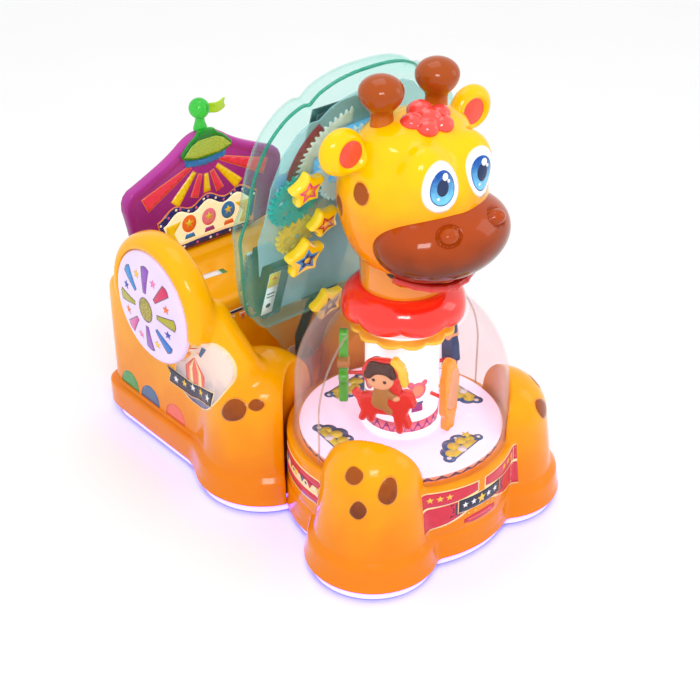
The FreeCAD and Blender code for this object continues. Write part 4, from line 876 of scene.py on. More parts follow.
for s in (-1, 1):
    pod = near_pod if s < 0 else far_pod
    film("leg_spots_" + ("right" if s < 0 else "left"), pod, "ride",
         spots([
             ((s * 0.341, 0.275, 0.301), (s * 0.84, -0.44, 0.32), 0.025, 9,
              1.2, s * 0.7),
             ((s * 0.302, 0.235, 0.325), (s * 0.62, -0.62, 0.48), 0.019, 12,
              0.9, 0.3)]))

# ---------------------------------------------------------------------------
# Wheel lenses: opal polycarbonate discs lit from behind, with a printed
# pinwheel of wedges and stars round a glitter boss, clipped in the arches.
# ---------------------------------------------------------------------------


def turned(name, section, at, axis="Z", seg=96):
    """Turns a closed section of (radius, height) about an axis."""
    n = len(section)
    v, f = [], []
    for k in range(seg):
        a = 2 * math.pi * k / seg
        for r, h in section:
            p = (r * math.cos(a), r * math.sin(a), h)
            if axis == "X":
                p = (h, p[0], p[1])
            v.append((at[0] + p[0], at[1] + AXIS_Y + p[1], at[2] + p[2]))
    for k in range(seg):
        m = (k + 1) % seg
        for i in range(n):
            o = (i + 1) % n
            if section[i][0] < 1e-7 and section[o][0] < 1e-7:
                continue
            f.append((k * n + i, m * n + i, m * n + o, k * n + o))
    ob = shape(name, v, f)
    bm = bmesh.new()
    bm.from_mesh(ob.data)
    bmesh.ops.remove_doubles(bm, verts=bm.verts[:], dist=1e-6)
    bmesh.ops.recalc_face_normals(bm, faces=bm.faces[:])
    bm.to_mesh(ob.data)
    bm.free()
    return ob


opal = gloss("opal lilac lens", "#DCC6EC", "#EEDDF8", 0.12,
             emit="#E8C8FF", emit_strength=0.06, coat=0.3, grain_mm=120.0)
wedge_inks = [ink("purple print", "#8A4AB8", "#9C5CC8"),
              ink("crimson print", "#D0205A", "#E03068"),
              ink("olive yellow print", "#A8A01C", "#BCB42C"),
              ink("blue print", "#1E6AC8", "#2E80DC"),
              ink("purple print low", "#8A4AB8", "#A060C8"),
              ink("pink print", "#D84AA0", "#E868B4"),
              ink("olive print", "#A8A01C", "#BCB42C"),
              ink("sky blue print", "#1E80D0", "#3498E0")]
star_inks = [ink("pink star print", "#F070B0", "#F888C0"),
             ink("orange star print", "#F06A20", "#FF8030"),
             ink("navy star print", "#2038A0", "#2C48B8"),
             ink("yellow star print", "#F0C020", "#FFD030")]
dark_edge = ink("dark print edge", "#6A5A70", "#7A6A80")
glitter = gloss("gold glitter boss", "#3A3408", "#E0CC50", 0.25,
                grain_mm=6.0, wave=0.3)
WHEEL_Y, WHEEL_Z = WHEEL
for s in (-1, 1):
    name = "right" if s < 0 else "left"
    section = [(0, s * 0.372), (0, s * 0.400)]
    for k in range(1, 13):
        t = k / 12
        section.append((0.150 * t, s * (0.400 - 0.0125 * t ** 2.6)))
    section += [(0.1575, s * 0.384), (0.161, s * 0.379), (0.162, s * 0.372)]
    lens = turned("wheel_lens_" + name + "_skin", section,
                  (0, WHEEL_Y, WHEEL_Z), "X")
    declare(lens, opal, "ride", ["wheel_lens_" + name])
    cuts = []
    face = plane((s * 0.40, WHEEL_Y, WHEEL_Z), (s, 0, 0))
    for k in range(8):
        a = math.pi / 2 + math.pi / 4 * k * s
        w0, w1 = 0.0085, 0.0185
        r0, r1 = 0.050 + 0.010 * (k % 2), 0.122 + 0.006 * (k % 2)
        wedge = [(r0, -w0 * 0.8), (r1, -w1), (r1 + 0.006, -w1 * 0.3),
                 (r1 + 0.006, w1 * 0.3), (r1, w1), (r0, w0 * 0.8)]
        cuts.append((face, moved(wedge, 0, 0, a, 1, 1.0), dark_edge, 0))
        core = [(r0 + 0.002, -w0 * 0.55), (r1 - 0.001, -w1 * 0.84),
                (r1 + 0.003, -w1 * 0.25), (r1 + 0.003, w1 * 0.25),
                (r1 - 0.001, w1 * 0.84), (r0 + 0.002, w0 * 0.55)]
        cuts.append((face, moved(core, 0, 0, a, 1, 1.0), wedge_inks[k], 1))
        b = a + math.pi / 8 * s
        cuts.append((face, moved(star(0.0135), 0.100 * math.cos(b),
                                 0.100 * math.sin(b)), star_inks[k % 4], 1))
    cuts.append((face, disc(0.031, 36, 0.037), dark_edge, 0))
    cuts.append((face, disc(0.028, 36, 0.034), glitter, 1))
    film("wheel_print_" + name, lens, "ride", cuts,
         pitch=0.012)

# ---------------------------------------------------------------------------
# Carousel: a lit opal floor under a clear acrylic dome, a lit drum turning
# on the fixed post, and four moulded riders on short arms.
# ---------------------------------------------------------------------------


def clear(name, tint, edge, steep=4.0, base=0.04, haze=0.03,
          body=None, gain=0.7):
    """Clear plastic sheet: tinted see-through, glossy at grazing angles."""
    mat, tree = new_material(name)
    place = node(tree, "ShaderNodeTexCoord")
    drift = node(tree, "ShaderNodeTexNoise", {
        "Vector": place.outputs["Object"], "Scale": 9.0, "Detail": 2.0})
    tone = node(tree, "ShaderNodeMix", {
        0: drift.outputs["Fac"], 6: linear(tint), 7: linear(edge)},
        data_type="RGBA")
    bump = node(tree, "ShaderNodeBump", {
        "Height": drift.outputs["Fac"], "Strength": 0.5, "Distance": 0.002})
    see = node(tree, "ShaderNodeBsdfTransparent", {
        "Color": tone.outputs[2]})
    skin_ = node(tree, "ShaderNodeBsdfPrincipled", {
        "Roughness": haze, "IOR": 1.5, "Normal": bump.outputs[0],
        "Coat Weight": 0.6, "Coat Roughness": 0.02})
    if body:
        skin_.inputs["Base Color"].default_value = linear(body)
    else:
        tree.links.new(tone.outputs[2], skin_.inputs["Base Color"])
    edge_on = node(tree, "ShaderNodeLayerWeight", {
        "Blend": 0.5, "Normal": bump.outputs[0]})
    rise = node(tree, "ShaderNodeMath", {
        0: edge_on.outputs["Facing"], 1: steep}, operation="POWER")
    amount = node(tree, "ShaderNodeMath", {
        0: rise.outputs[0], 1: gain, 2: base}, operation="MULTIPLY_ADD")
    mixed = node(tree, "ShaderNodeMixShader", {
        0: amount.outputs[0], 1: see.outputs[0], 2: skin_.outputs[0]})
    node(tree, "ShaderNodeOutputMaterial", {"Surface": mixed.outputs[0]})
    return mat


clear_dome = clear("clear acrylic dome", "#FDF6F8", "#FFFDFE", 4.5, 0.012,
                   gain=0.5)
DOME_R, BALL_Z = 0.280, 0.390


def arc(r, z0, a0, a1, n):
    return [(r * math.cos(a0 + (a1 - a0) * k / n),
             z0 + r * math.sin(a0 + (a1 - a0) * k / n))
            for k in range(n + 1)]


top = math.asin(0.224 / DOME_R)
dome_outer = [(0.2865, 0.2556), (0.2865, 0.2625), (0.2815, 0.2655),
              (DOME_R, 0.272)] + arc(DOME_R, BALL_Z, 0, top, 28)
dome_inner = arc(DOME_R - 0.003, BALL_Z, top, 0, 28) + [
    (DOME_R - 0.003, 0.2556)]
dome = turned("dome_skin", dome_outer + dome_inner, (0, 0, 0), seg=128)
declare(dome, clear_dome, "ride", ["dome"])
# seam flanges where the two dome halves are bonded
seam_clear = clear("bonded acrylic seam", "#E8D8D0", "#F4E8E0", 3.0, 0.22)


def seam_field(x, y, z):
    r = np.where(z < BALL_Z, np.abs(x), np.hypot(x, z - BALL_Z))
    d = np.maximum(np.abs(r - DOME_R - 0.0012) - 0.0024,
                   np.abs(y) - 0.0018)
    return np.maximum(np.maximum(d, z - 0.60), 0.262 - z)


solid("dome_seam", seam_field, (-0.29, -0.01, 0.255), (0.29, 0.01, 0.615),
      0.0016, seam_clear, "ride", [])

disc_lit = gloss("lit opal carousel floor", "#F2DCF4", "#FFF0FB", 0.25,
                 emit="#FBD9FF", emit_strength=0.42, grain_mm=160.0)
floor_top = 0.275
floor_disc = turned("floor_disc_skin", [
    (0.045, 0.262), (0.045, floor_top), (0.262, floor_top),
    (0.2665, floor_top - 0.002), (0.268, floor_top - 0.006),
    (0.268, 0.2565), (0.26, 0.2565)], (0, 0, 0), seg=128)
declare(floor_disc, disc_lit, "ride", ["floor_disc"])
peach = ink("peach print", "#F0A07A", "#F8B48C")
dark_zig = ink("dark zigzag print", "#5A3A58", "#6E4A6A")
slate = ink("slate blue print", "#3C6090", "#4A74A8")
lemon = ink("lemon print", "#E8D23C", "#F4E050")
white_ink = ink("white print", "#F2F2F4", "#FFFFFF")
deep_purple = ink("purple zigzag print", "#A0308C", "#B440A0")
pink_ink = ink("pink print soft", "#F07898", "#F88CA8")
BIG = 1.42              # clouds drawn small, printed this much larger
cuts = []
for turn in (-83.5, -4.5, 93.0, 168.0):
    a = math.radians(turn)
    d = Vector((math.cos(a), math.sin(a), 0))
    at = (0.208 * d.x, 0.208 * d.y, 0.30)
    face = (Vector((at[0], at[1] + AXIS_Y, at[2])),
            Vector((-d.y, d.x, 0)), Vector((-d.x, -d.y, 0)))
    puffs = [(-0.042, -0.004, 0.012), (-0.028, 0.008, 0.017),
             (-0.008, 0.018, 0.019), (0.014, 0.020, 0.017),
             (0.030, 0.012, 0.014), (0.044, 0.0, 0.010)]
    for k, (px, py, r) in enumerate(puffs):
        cuts.append((face, moved(disc(r * BIG, 24), px * BIG, py * BIG),
                     slate, 0.12 * k))
    cuts.append((face, moved([(-0.042, -0.014), (0.044, -0.008),
                              (0.044, 0.004), (-0.042, 0.004)], 0, 0, 0,
                             BIG), slate, 0.8))
    for k, (px, py, r) in enumerate(puffs[1:5]):
        cuts.append((face, moved(disc(r * 0.62 * BIG, 20), px * BIG,
                                 (py - 0.004) * BIG), lemon,
                     1.4 + 0.12 * k))
    cuts.append((face, moved([(-0.032, -0.010), (0.034, -0.006),
                              (0.030, 0.006), (-0.028, 0.005)], 0, 0, 0,
                             BIG), lemon, 2.0))
    for px, py, r in ((-0.004, -0.002, 0.0085), (-0.042, -0.003, 0.0045),
                      (0.046, 0.0, 0.0035), (0.014, 0.028, 0.003)):
        cuts.append((face, moved(disc(r * BIG, 16), px * BIG, py * BIG),
                     white_ink, 3))
    cuts.append((face, moved(star(0.016), 0.036 * BIG, 0.020 * BIG), lemon,
                 4))
film("floor_print", floor_disc, "ride", cuts, pitch=0.03)


def band_print(name, r, z, height, count, low, high, body):
    """A zigzag strip round a drum: triangles standing on a backing band."""
    v, f, index = [], [], []

    def quad_strip(z0, z1, lift, mat_i, n=180):
        base = len(v)
        for k in range(n):
            a = 2 * math.pi * k / n
            for zz in (z0, z1):
                v.append(((r + lift) * math.cos(a),
                          AXIS_Y + (r + lift) * math.sin(a), zz))
        for k in range(n):
            m = (k + 1) % n
            f.append((base + 2 * k, base + 2 * m, base + 2 * m + 1,
                      base + 2 * k + 1))
            index.append(mat_i)

    quad_strip(z, z + height, 0.0004, 0)
    for k in range(count):
        a0 = 2 * math.pi * k / count
        a1 = 2 * math.pi * (k + 1) / count
        base = len(v)
        for a, zz in ((a0, z), (a1, z), ((a0 + a1) / 2, z + height)):
            v.append(((r + 0.0009) * math.cos(a),
                      AXIS_Y + (r + 0.0009) * math.sin(a), zz))
        f.append((base, base + 1, base + 2))
        index.append(1)
    ob = shape(name, v, f)
    ob.data.materials.append(low)
    ob.data.materials.append(high)
    ob.data.polygons.foreach_set("material_index", index)
    thicken(ob, 0.0005)
    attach(ob, body)
    return ob


band_print("floor_edge_print", 0.268, 0.2575, 0.0125, 44, peach, dark_zig,
           "ride")

drum_lit = gloss("lit opal carousel drum", "#FFF0F4", "#FFFFFF", 0.2,
                 emit="#FFF2FA", emit_strength=0.55, grain_mm=120.0)
drum_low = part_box("carousel_drum")[0]
drum = turned("carousel_drum_skin", [
    (0.0165, drum_low.z), (0.024, drum_low.z), (0.024, 0.2775),
    (0.102, 0.2775), (0.1035, 0.280), (0.1015, 0.284), (0.0965, 0.290),
    (0.096, 0.340), (0.096, 0.5755), (0.111, 0.5755), (0.112, 0.578),
    (0.112, 0.582), (0.104, 0.5865), (0.060, 0.589), (0.0165, 0.589)],
    (0, 0, 0))
declare(drum, drum_lit, "carousel", ["carousel_drum"])
band_print("drum_zigzag", 0.0968, 0.292, 0.030, 22, pink_ink, deep_purple,
           "carousel")
cuts = []
for k in range(4):
    a = math.radians(-108 + 90 * k)
    out = Vector((math.cos(a), math.sin(a), 0))
    face = plane((0.10 * out.x, 0.10 * out.y, 0.415), out)
    cuts += [(face, disc(0.024, 28), pink_ink, 0),
             (face, moved(disc(0.009, 18), -0.019, 0.019), pink_ink, 0),
             (face, moved(disc(0.009, 18), 0.019, 0.019), pink_ink, 0),
             (face, moved(disc(0.017, 24), 0, -0.001), peach, 1),
             (face, moved([(-0.016, -0.012), (0.016, -0.012), (0.014, 0.012),
                           (-0.014, 0.012)], 0.0, -0.052), deep_purple, 0),
             (face, moved([(-0.017, -0.003), (0.017, -0.003), (0.017, 0.003),
                           (-0.017, 0.003)], 0.0, -0.038), slate, 1)]
film("drum_print", drum, "carousel", cuts)
canopy_yellow = gloss("yellow canopy petals", "#F8C81C", "#FFE040", 0.2,
                      grain_mm=30.0)


def petals_field(x, y, z):
    a = np.arctan2(y, x)
    r = np.hypot(x, y)
    wave = 0.124 + 0.010 * np.abs(np.cos(6 * a))
    drop = 0.566 + 0.35 * (0.128 - r)
    return np.maximum(np.maximum(r - wave, 0.104 - r),
                      np.abs(z - drop) - 0.0045)


solid("canopy_petals", petals_field, (-0.14, -0.14, 0.55),
      (0.14, 0.14, 0.59), 0.0028, canopy_yellow, "carousel", [])
# Riders: a child on a red horse, and three other flat moulded figures with
# rounded edges, each on a short arm from the drum.


def capsule(a, b, p, q, r0, r1):
    """Flat distance to a bar from p to q, r0 wide at p and r1 at q."""
    dx, dy = q[0] - p[0], q[1] - p[1]
    t = np.clip(((a - p[0]) * dx + (b - p[1]) * dy)
                / max(dx * dx + dy * dy, 1e-12), 0, 1)
    return (np.hypot(a - p[0] - t * dx, b - p[1] - t * dy)
            - (r0 + (r1 - r0) * t))


def flat_figure(bars, k=0.006):
    def read(a, b):
        body = None
        for p, q, r0, r1 in bars:
            d = capsule(a, b, p, q, r0, r1)
            body = d if body is None else smooth_min(body, d, k)
        return body
    return read


TALL = 1.2              # figures are drawn at five sixths of full size


def rider(name, angle, up_by, parts):
    """Skins a figure's parts flat and turns them to their place."""
    a = math.radians(angle - 90)
    out = Vector((math.cos(a), math.sin(a), 0))
    along = Vector((-math.sin(a), math.cos(a), 0))
    for k, (bars, half, mat) in enumerate(parts):
        read = flat_figure(bars)
        pts = np.array([p for bar in bars for p in bar[:2]])
        lo = pts.min(0) - 0.045
        hi = pts.max(0) + 0.045
        v, f = skin(lambda x, y, z: slab(read(x, z), y, half, 0.005),
                    (lo[0], -half - 0.006, lo[1]),
                    (hi[0], half + 0.006, hi[1]), 0.0032)
        place = [Vector((0, AXIS_Y, 0.339 + up_by)) + out * (0.150 + p[1])
                 + along * p[0] * TALL + Vector((0, 0, p[2] * TALL))
                 for p in v]
        ob = shape(name + "_%d" % k, place, f[:, ::-1])
        bm = bmesh.new()
        bm.from_mesh(ob.data)
        bmesh.ops.recalc_face_normals(bm, faces=bm.faces[:])
        bm.to_mesh(ob.data)
        bm.free()
        declare(ob, mat, "carousel", [])
    arm = turned(name + "_arm", [(0, 0.0955), (0.005, 0.0955),
                                 (0.005, 0.141), (0, 0.141)],
                 (0, 0, 0), "X", 24)
    turn = Matrix.Rotation(a, 4, "Z")
    turn.translation = Vector((0, AXIS_Y, 0.387 + up_by))
    for q in arm.data.vertices:
        q.co = turn @ Vector((q.co.x, q.co.y - AXIS_Y, q.co.z))
    declare(arm, figure_red, "carousel", [])


figure_red = gloss("red moulded figure", "#D81C12", "#F0281A", 0.2,
                   grain_mm=30.0, coat=0.3)
figure_skin = gloss("tan moulded figure", "#E8A878", "#F4B888", 0.3,
                    grain_mm=30.0)
figure_brown = gloss("dark brown moulded hair", "#3A1A0E", "#4C2614", 0.3,
                     grain_mm=20.0)
figure_green = gloss("green moulded figure", "#3CA81C", "#54C42C", 0.2,
                     grain_mm=30.0, coat=0.3)
figure_orange = gloss("orange moulded figure", "#F0981C", "#FCB42C", 0.2,
                      grain_mm=30.0, coat=0.3)
figure_navy = gloss("navy moulded figure", "#16305C", "#22447C", 0.2,
                    grain_mm=30.0, coat=0.3)
khaki = gloss("khaki moulded shirt", "#A8702C", "#BC8438", 0.35,
              grain_mm=16.0)
rider("horse", -59, 0.016, [
    ([((-0.034, 0.046), (0.030, 0.050), 0.024, 0.024),
      ((0.030, 0.050), (0.046, 0.074), 0.020, 0.014),
      ((0.046, 0.074), (0.058, 0.060), 0.014, 0.009),
      ((0.028, 0.040), (0.034, -0.010), 0.012, 0.008),
      ((0.036, 0.036), (0.052, 0.004), 0.010, 0.007),
      ((-0.034, 0.040), (-0.048, 0.008), 0.012, 0.008),
      ((-0.026, 0.038), (-0.028, 0.006), 0.010, 0.007),
      ((-0.050, 0.052), (-0.064, 0.066), 0.008, 0.007)],
     0.012, figure_red),
    ([((-0.010, 0.056), (-0.006, 0.088), 0.018, 0.016),
      ((-0.004, 0.084), (0.024, 0.070), 0.008, 0.007),
      ((-0.010, 0.056), (0.012, 0.036), 0.010, 0.008)],
     0.016, khaki),
    ([((-0.012, 0.114), (-0.006, 0.114), 0.0265, 0.0265),
      ((0.024, 0.070), (0.030, 0.072), 0.006, 0.005)],
     0.017, figure_skin),
    ([((-0.034, 0.120), (-0.022, 0.138), 0.010, 0.013),
      ((-0.022, 0.138), (0.006, 0.138), 0.014, 0.013),
      ((0.006, 0.138), (0.018, 0.124), 0.012, 0.008)],
     0.019, figure_brown),
    ([((-0.016, 0.122), (0.004, 0.124), 0.034, 0.034),
      ((0.010, 0.110), (0.026, 0.086), 0.016, 0.010)],
     0.010, figure_red),
    ([((0.032, 0.142), (0.038, 0.126), 0.009, 0.008),
      ((0.038, 0.122), (0.042, 0.106), 0.008, 0.007),
      ((0.020, 0.154), (0.026, 0.148), 0.009, 0.008)],
     0.0125, canopy_yellow),
    ([((-0.022, 0.110), (-0.022, 0.111), 0.0040, 0.0040)],
     0.0205, figure_brown),
    ([((0.002, 0.108), (0.002, 0.109), 0.0040, 0.0040)],
     0.0205, figure_brown)])
rider("leaper", -133, 0.024, [
    ([((0, 0.022), (0.006, 0.064), 0.020, 0.024),
      ((0.006, 0.064), (-0.004, 0.122), 0.020, 0.022),
      ((-0.004, 0.122), (0.004, 0.136), 0.020, 0.015),
      ((0.000, 0.020), (-0.006, -0.020), 0.010, 0.008),
      ((0.012, 0.020), (0.016, -0.016), 0.010, 0.008),
      ((0.010, 0.060), (0.038, 0.052), 0.012, 0.010)],
     0.012, figure_green),
    ([((0.014, 0.080), (0.038, 0.086), 0.011, 0.009)],
     0.016, khaki)])
rider("prancer", 9, 0.004, [
    ([((0, 0.020), (0.002, 0.094), 0.022, 0.024),
      ((0.002, 0.094), (-0.002, 0.128), 0.022, 0.016),
      ((-0.002, 0.016), (-0.006, -0.024), 0.010, 0.008),
      ((0.010, 0.016), (0.008, -0.024), 0.010, 0.007)],
     0.012, figure_orange),
    ([((0.0, 0.040), (0.006, 0.086), 0.018, 0.017),
      ((0.006, 0.100), (0.006, 0.108), 0.014, 0.014)],
     0.015, figure_skin)])
rider("admiral", 80, 0.024, [
    ([((0, 0.010), (0.0, 0.080), 0.018, 0.022),
      ((0.0, 0.080), (0.002, 0.140), 0.018, 0.014),
      ((-0.014, 0.080), (-0.022, 0.050), 0.008, 0.007)],
     0.012, figure_navy),
    ([((0, 0.104), (0.002, 0.110), 0.016, 0.016)],
     0.015, figure_skin)])
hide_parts("carousel_figures")

# ---------------------------------------------------------------------------
# Collar and neck: a red moulded ruff with lobed edge clamps the dome's
# mouth; the neck above it is an amber tube up into the head.
# ---------------------------------------------------------------------------
ruff_red = gloss("scarlet gloss-lacquered ruff", "#F01A0C", "#FF2C18", 0.12,
                 coat=0.6, grain_mm=70.0, wave=0.4)
ruff_flat = outline_field(rounded(
    [(0.060, 0.616), (0.128, 0.606), (0.150, 0.600), (0.160, 0.616),
     (0.160, 0.640), (0.148, 0.664), (0.126, 0.682), (0.112, 0.687),
     (0.060, 0.687)], 2), cell=0.001)


def ruff_field(x, y, z):
    a = np.arctan2(y, x)
    lobe = np.abs(np.sin(4 * a)) ** 0.7
    low = np.clip((0.675 - z) / 0.07, 0, 1)
    body = ruff_flat(np.hypot(x, y) + 0.008 * (1 - lobe) * low,
                     z - 0.010 * (1 - lobe) * low)
    return smooth_max(body, 0.104 - np.hypot(x, y), 0.002)


solid("ruff_skin", ruff_field, (-0.17, -0.17, 0.585), (0.17, 0.17, 0.70),
      0.0035, ruff_red, "ride", ["collar"])
amber = gloss("amber gloss-lacquered neck", "#E8860C", "#F49414", 0.12,
              coat=0.6, grain_mm=70.0)
neck_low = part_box("neck")[0]
neck = turned("neck_skin", [
    (0.1045, neck_low.z), (0.1085, neck_low.z), (0.1095, 0.690),
    (0.1100, 0.700), (0.1112, 0.740), (0.1140, 0.800),
    (0.1135, 0.8095), (0.109, 0.8095)], (0, 0, 0))
declare(neck, amber, "ride", ["neck"])

# ---------------------------------------------------------------------------
# Console: a cloud-shaped case in two blow-moulded halves of clear teal
# polycarbonate, screwed together at a flanged seam, full of display gears.
# ---------------------------------------------------------------------------
half_line = [(0.0, 742), (51, 740), (104, 730), (150, 709), (174, 683),
             (200, 684), (244, 654), (283, 589), (301, 487), (297, 374),
             (305, 308), (287, 234), (260, 124), (228, 26), (204, 0)]
half_line = [(x / 1000, v / 1000) for x, v in half_line]


def smooth_line(points, n=8):
    """Catmull-Rom through the points, creases kept where they are sharp."""
    out = []
    for i in range(len(points) - 1):
        p1, p2 = np.array(points[i]), np.array(points[i + 1])
        p0 = np.array(points[i - 1]) if i and points[i] not in crease else (
            p1 - (p2 - p1) if i else np.array((-points[1][0], points[1][1])))
        p3 = (np.array(points[i + 2])
              if i + 2 < len(points) and points[i + 1] not in crease
              else p2 + (p2 - p1))
        for k in range(n):
            t = k / n
            out.append(tuple(0.5 * (2 * p1 + (p2 - p0) * t
                                    + (2 * p0 - 5 * p1 + 4 * p2 - p3) * t * t
                                    + (3 * p1 - p0 - 3 * p2 + p3) * t ** 3)))
    return out + [points[-1]]


crease = ((0.174, 0.683), (0.297, 0.374))
half_fine = smooth_line(half_line)
outline = half_fine + [(-x, v) for x, v in reversed(half_fine[1:])]
case_flat = outline_field(outline, cell=0.0025)
teal = clear("clear teal polycarbonate", "#F4FDFB", "#FBFFFE", 3.4, 0.02,
             body="#8CE6D6", gain=0.6)
teal_edge = clear("teal polycarbonate edge", "#B0ECE0", "#C8F4EA", 2.5, 0.42,
                  body="#1CA88C")


def in_console(name, field, lo, hi, cell, mat, nodes, body="ride",
               wall=None, cut=None):
    """Skins a field of console coordinates and sets it in place."""
    v, f = skin(field, lo, hi, cell)
    ob = shape(name, v, f)
    if cut is not None:
        trim(ob, (0, 0, 0), cut)
    for q in ob.data.vertices:
        q.co = from_case(*q.co)
    if wall:
        thicken(ob, wall)
    return declare(ob, mat, body, nodes)


LAP = 0.012             # the halves are drawn past the seam, then cut at it
for half, way, depth, round_edge in (("front", -1, 0.070, 0.034),
                                     ("rear", 1, 0.052, 0.030)):
    def case_half(x, w, v, way=way, depth=depth, round_edge=round_edge):
        d = round_join(case_flat(x, v),
                       np.maximum(w * way - depth, -1 - round_edge),
                       round_edge)
        return np.maximum(d, -way * w - LAP)

    ends = sorted((way * (depth + 0.010), -way * 0.02))
    in_console("case_%s_skin" % half, case_half, (-0.32, ends[0], -0.02),
               (0.32, ends[1], 0.76), 0.006, teal, ["case_" + half],
               wall=0.003, cut=(0, -way, 0))


def flange_field(x, w, v):
    return np.hypot(np.maximum(np.abs(case_flat(x, v) + 0.001) - 0.0020, 0),
                    np.maximum(np.abs(w) - 0.0024, 0)) - 0.0015


in_console("case_flange", flange_field, (-0.32, -0.009, -0.02),
           (0.32, 0.009, 0.76), 0.0035, teal_edge, [])
board = clear("clear sky blue backing board", "#E4F6FC", "#F6FDFF", 3.0, 0.34,
              body="#CDEFFB", gain=0.4)


def console_sheet(w):
    """A flat sheet across the console to print on, and its frame."""
    rim = ((-0.3, 0), (0.3, 0), (0.3, 0.75), (-0.3, 0.75))
    sheet = BVHTree.FromPolygons([from_case(x, w, v) for x, v in rim],
                                 [(0, 1, 2, 3)])
    return sheet, (from_case(0, w, 0), Vector((1, 0, 0)),
                   Vector((0, -math.sin(LEAN), math.cos(LEAN))))


# printed cog behind the gears: white teeth round a crimson field
card, card_face = console_sheet(-0.0315)
COG = (-0.030, 0.500)


def cog_part(r0, r1, a0, a1, teeth, deep):
    """Sector of a toothed ring about the large gear's axle."""
    n = teeth * 4
    inner = [(COG[0] + r0 * math.cos(a0 + (a1 - a0) * k / 24),
              COG[1] + r0 * math.sin(a0 + (a1 - a0) * k / 24))
             for k in range(25)]
    outer = []
    for k in range(n + 1):
        r = r1 + (deep if k % 4 in (1, 2) else 0.0)
        a = a0 + (a1 - a0) * k / n
        outer.append((COG[0] + r * math.cos(a), COG[1] + r * math.sin(a)))
    return inner + outer[::-1]


cog_white = ink("white cog print", "#ECF2F8", "#FAFCFF")
cog_crimson = ink("crimson cog print", "#8C1830", "#A42440")
glow_blue = ink("lit sky blue print", "#58B8F4", "#84D0FC", emit="#7CCCFF",
                strength=0.25)
film("cog_print", card, "ride", [
    (card_face, cog_part(0.150, 0.196, 2.30, 3.30, 11, 0.0), cog_crimson, 0),
    (card_face, cog_part(0.120, 0.160, 1.75, 3.50, 18, 0.012), cog_white, 1),
    (card_face, cog_part(0.040, 0.122, 1.2, 4.6, 1, 0.0), glow_blue, 2)],
     pitch=0.02)



def funnel_field(x, y, z):
    t = np.clip((z - 0.372) / 0.130, 0, 1)
    t2 = np.clip((z - 0.287) / 0.085, 0, 1)
    rx = 0.048 + 0.048 * t2 + 0.092 * t ** 0.8
    ry = 0.042 + 0.018 * t2 + 0.004 * t
    cy = 0.414 - 0.016 * t2 - 0.040 * t
    d = (np.sqrt(((x) / rx) ** 2 + ((y - cy) / ry) ** 2) - 1) * ry
    return np.maximum(np.maximum(d, 0.287 - z), z - 0.506
                      - 0.33 * (0.36 - y))


solid("case_funnel_skin", funnel_field, (-0.21, 0.28, 0.27),
               (0.21, 0.47, 0.53), 0.005, teal, "ride", ["case_funnel"])
pink_clear = clear("clear pink column", "#FFD8CC", "#FFE6DE", 2.5, 0.25)
column = turned("column_skin", [
    (0.030, 0.106), (0.046, 0.106), (0.046, 0.112), (0.037, 0.122),
    (0.034, 0.145), (0.033, 0.20), (0.034, 0.262), (0.037, 0.2845),
    (0.033, 0.2845), (0.030, 0.262), (0.029, 0.20)], (0, 0.418, 0), seg=48)
declare(column, pink_clear, "ride", ["column_cover"])

# Star bosses: puffed yellow mouldings screwed on the case front, each with a
# star film and a bright screw.
star_yellow = gloss("yellow gloss-lacquered star", "#FFD200", "#FFDE18",
                    0.10, coat=0.6, grain_mm=30.0)
star_print = [(ink("pink star film", "#E8487C", "#F05C90"),
               ink("orange star film", "#F0881C", "#F89C2C")),
              (ink("leaf star film", "#A83C1C", "#BC4C24"),
               ink("rust star film", "#F07830", "#F88C40")),
              (ink("blue star film", "#2C88C8", "#3C98D8"),
               ink("dark blue star film", "#14245C", "#1C306C")),
              (ink("umber star film", "#5C3410", "#6C4018"),
               ink("dark umber star film", "#301808", "#40220E"))]
STARS = ((-0.210, 0.508, 0.050, 0.2), (-0.124, 0.374, 0.046, 0.5),
         (-0.160, 0.268, 0.060, 0.1), (-0.030, 0.050, 0.054, 0.35))
for k, (sx, sv, r, turn) in enumerate(STARS):
    line = outline_field([tuple(p) for p in rounded(
        star(r * 1.16, 0.56, turn=math.pi / 2 + turn), 3)], cell=0.001)

    def puff(x, w, v, line=line, sx=sx, sv=sv):
        return slab(line(x - sx, v - sv), w + 0.083, 0.0155, 0.011)

    boss = in_console("star_boss_%d" % k, puff,
                      (sx - r * 1.4, -0.102, sv - r * 1.4),
                      (sx + r * 1.4, -0.064, sv + r * 1.4), 0.0028,
                      star_yellow, ["star_bosses"] if k == 0 else [])
    at = from_case(sx, -0.10, sv)
    out = Vector((0, -math.cos(LEAN), -math.sin(LEAN)))
    spot = plane((at.x, at.y - AXIS_Y, at.z), out)
    film("star_film_%d" % k, boss, "ride", [
        (spot, moved(star(r * 0.66, 0.5), 0, 0, turn), star_print[k][0], 0),
        (spot, moved(star(r * 0.42, 0.5), 0, 0, turn), star_print[k][1], 1),
        (spot, disc(r * 0.15, 20), star_inks[3], 2)], pitch=0.01)

# Printed films of the body: swags with stars round the ring wall, domes of
# colour over the rear band, a picture on each side wall, a seat label and
# bunting under the seat edge. All of them are plain shapes without words.
crimson = ink("crimson band print", "#C81E3C", "#DA2C48")
cream_edge = ink("cream band edge", "#F8D898", "#FCE4B0")
gold_star = ink("gold star print", "#F8C030", "#FFD050")
navy_film = ink("navy ribbon print", "#1A1E38", "#242A4C")
leaf_green = ink("leaf green dome print", "#3C8C48", "#4CA058")
slate_dome = ink("slate dome print", "#3C5C88", "#4C709C")
coral_dome = ink("coral dome print", "#E85C4C", "#F47060")
lace_film = ink("blue pennant print", "#1C78C8", "#2C8CDC")


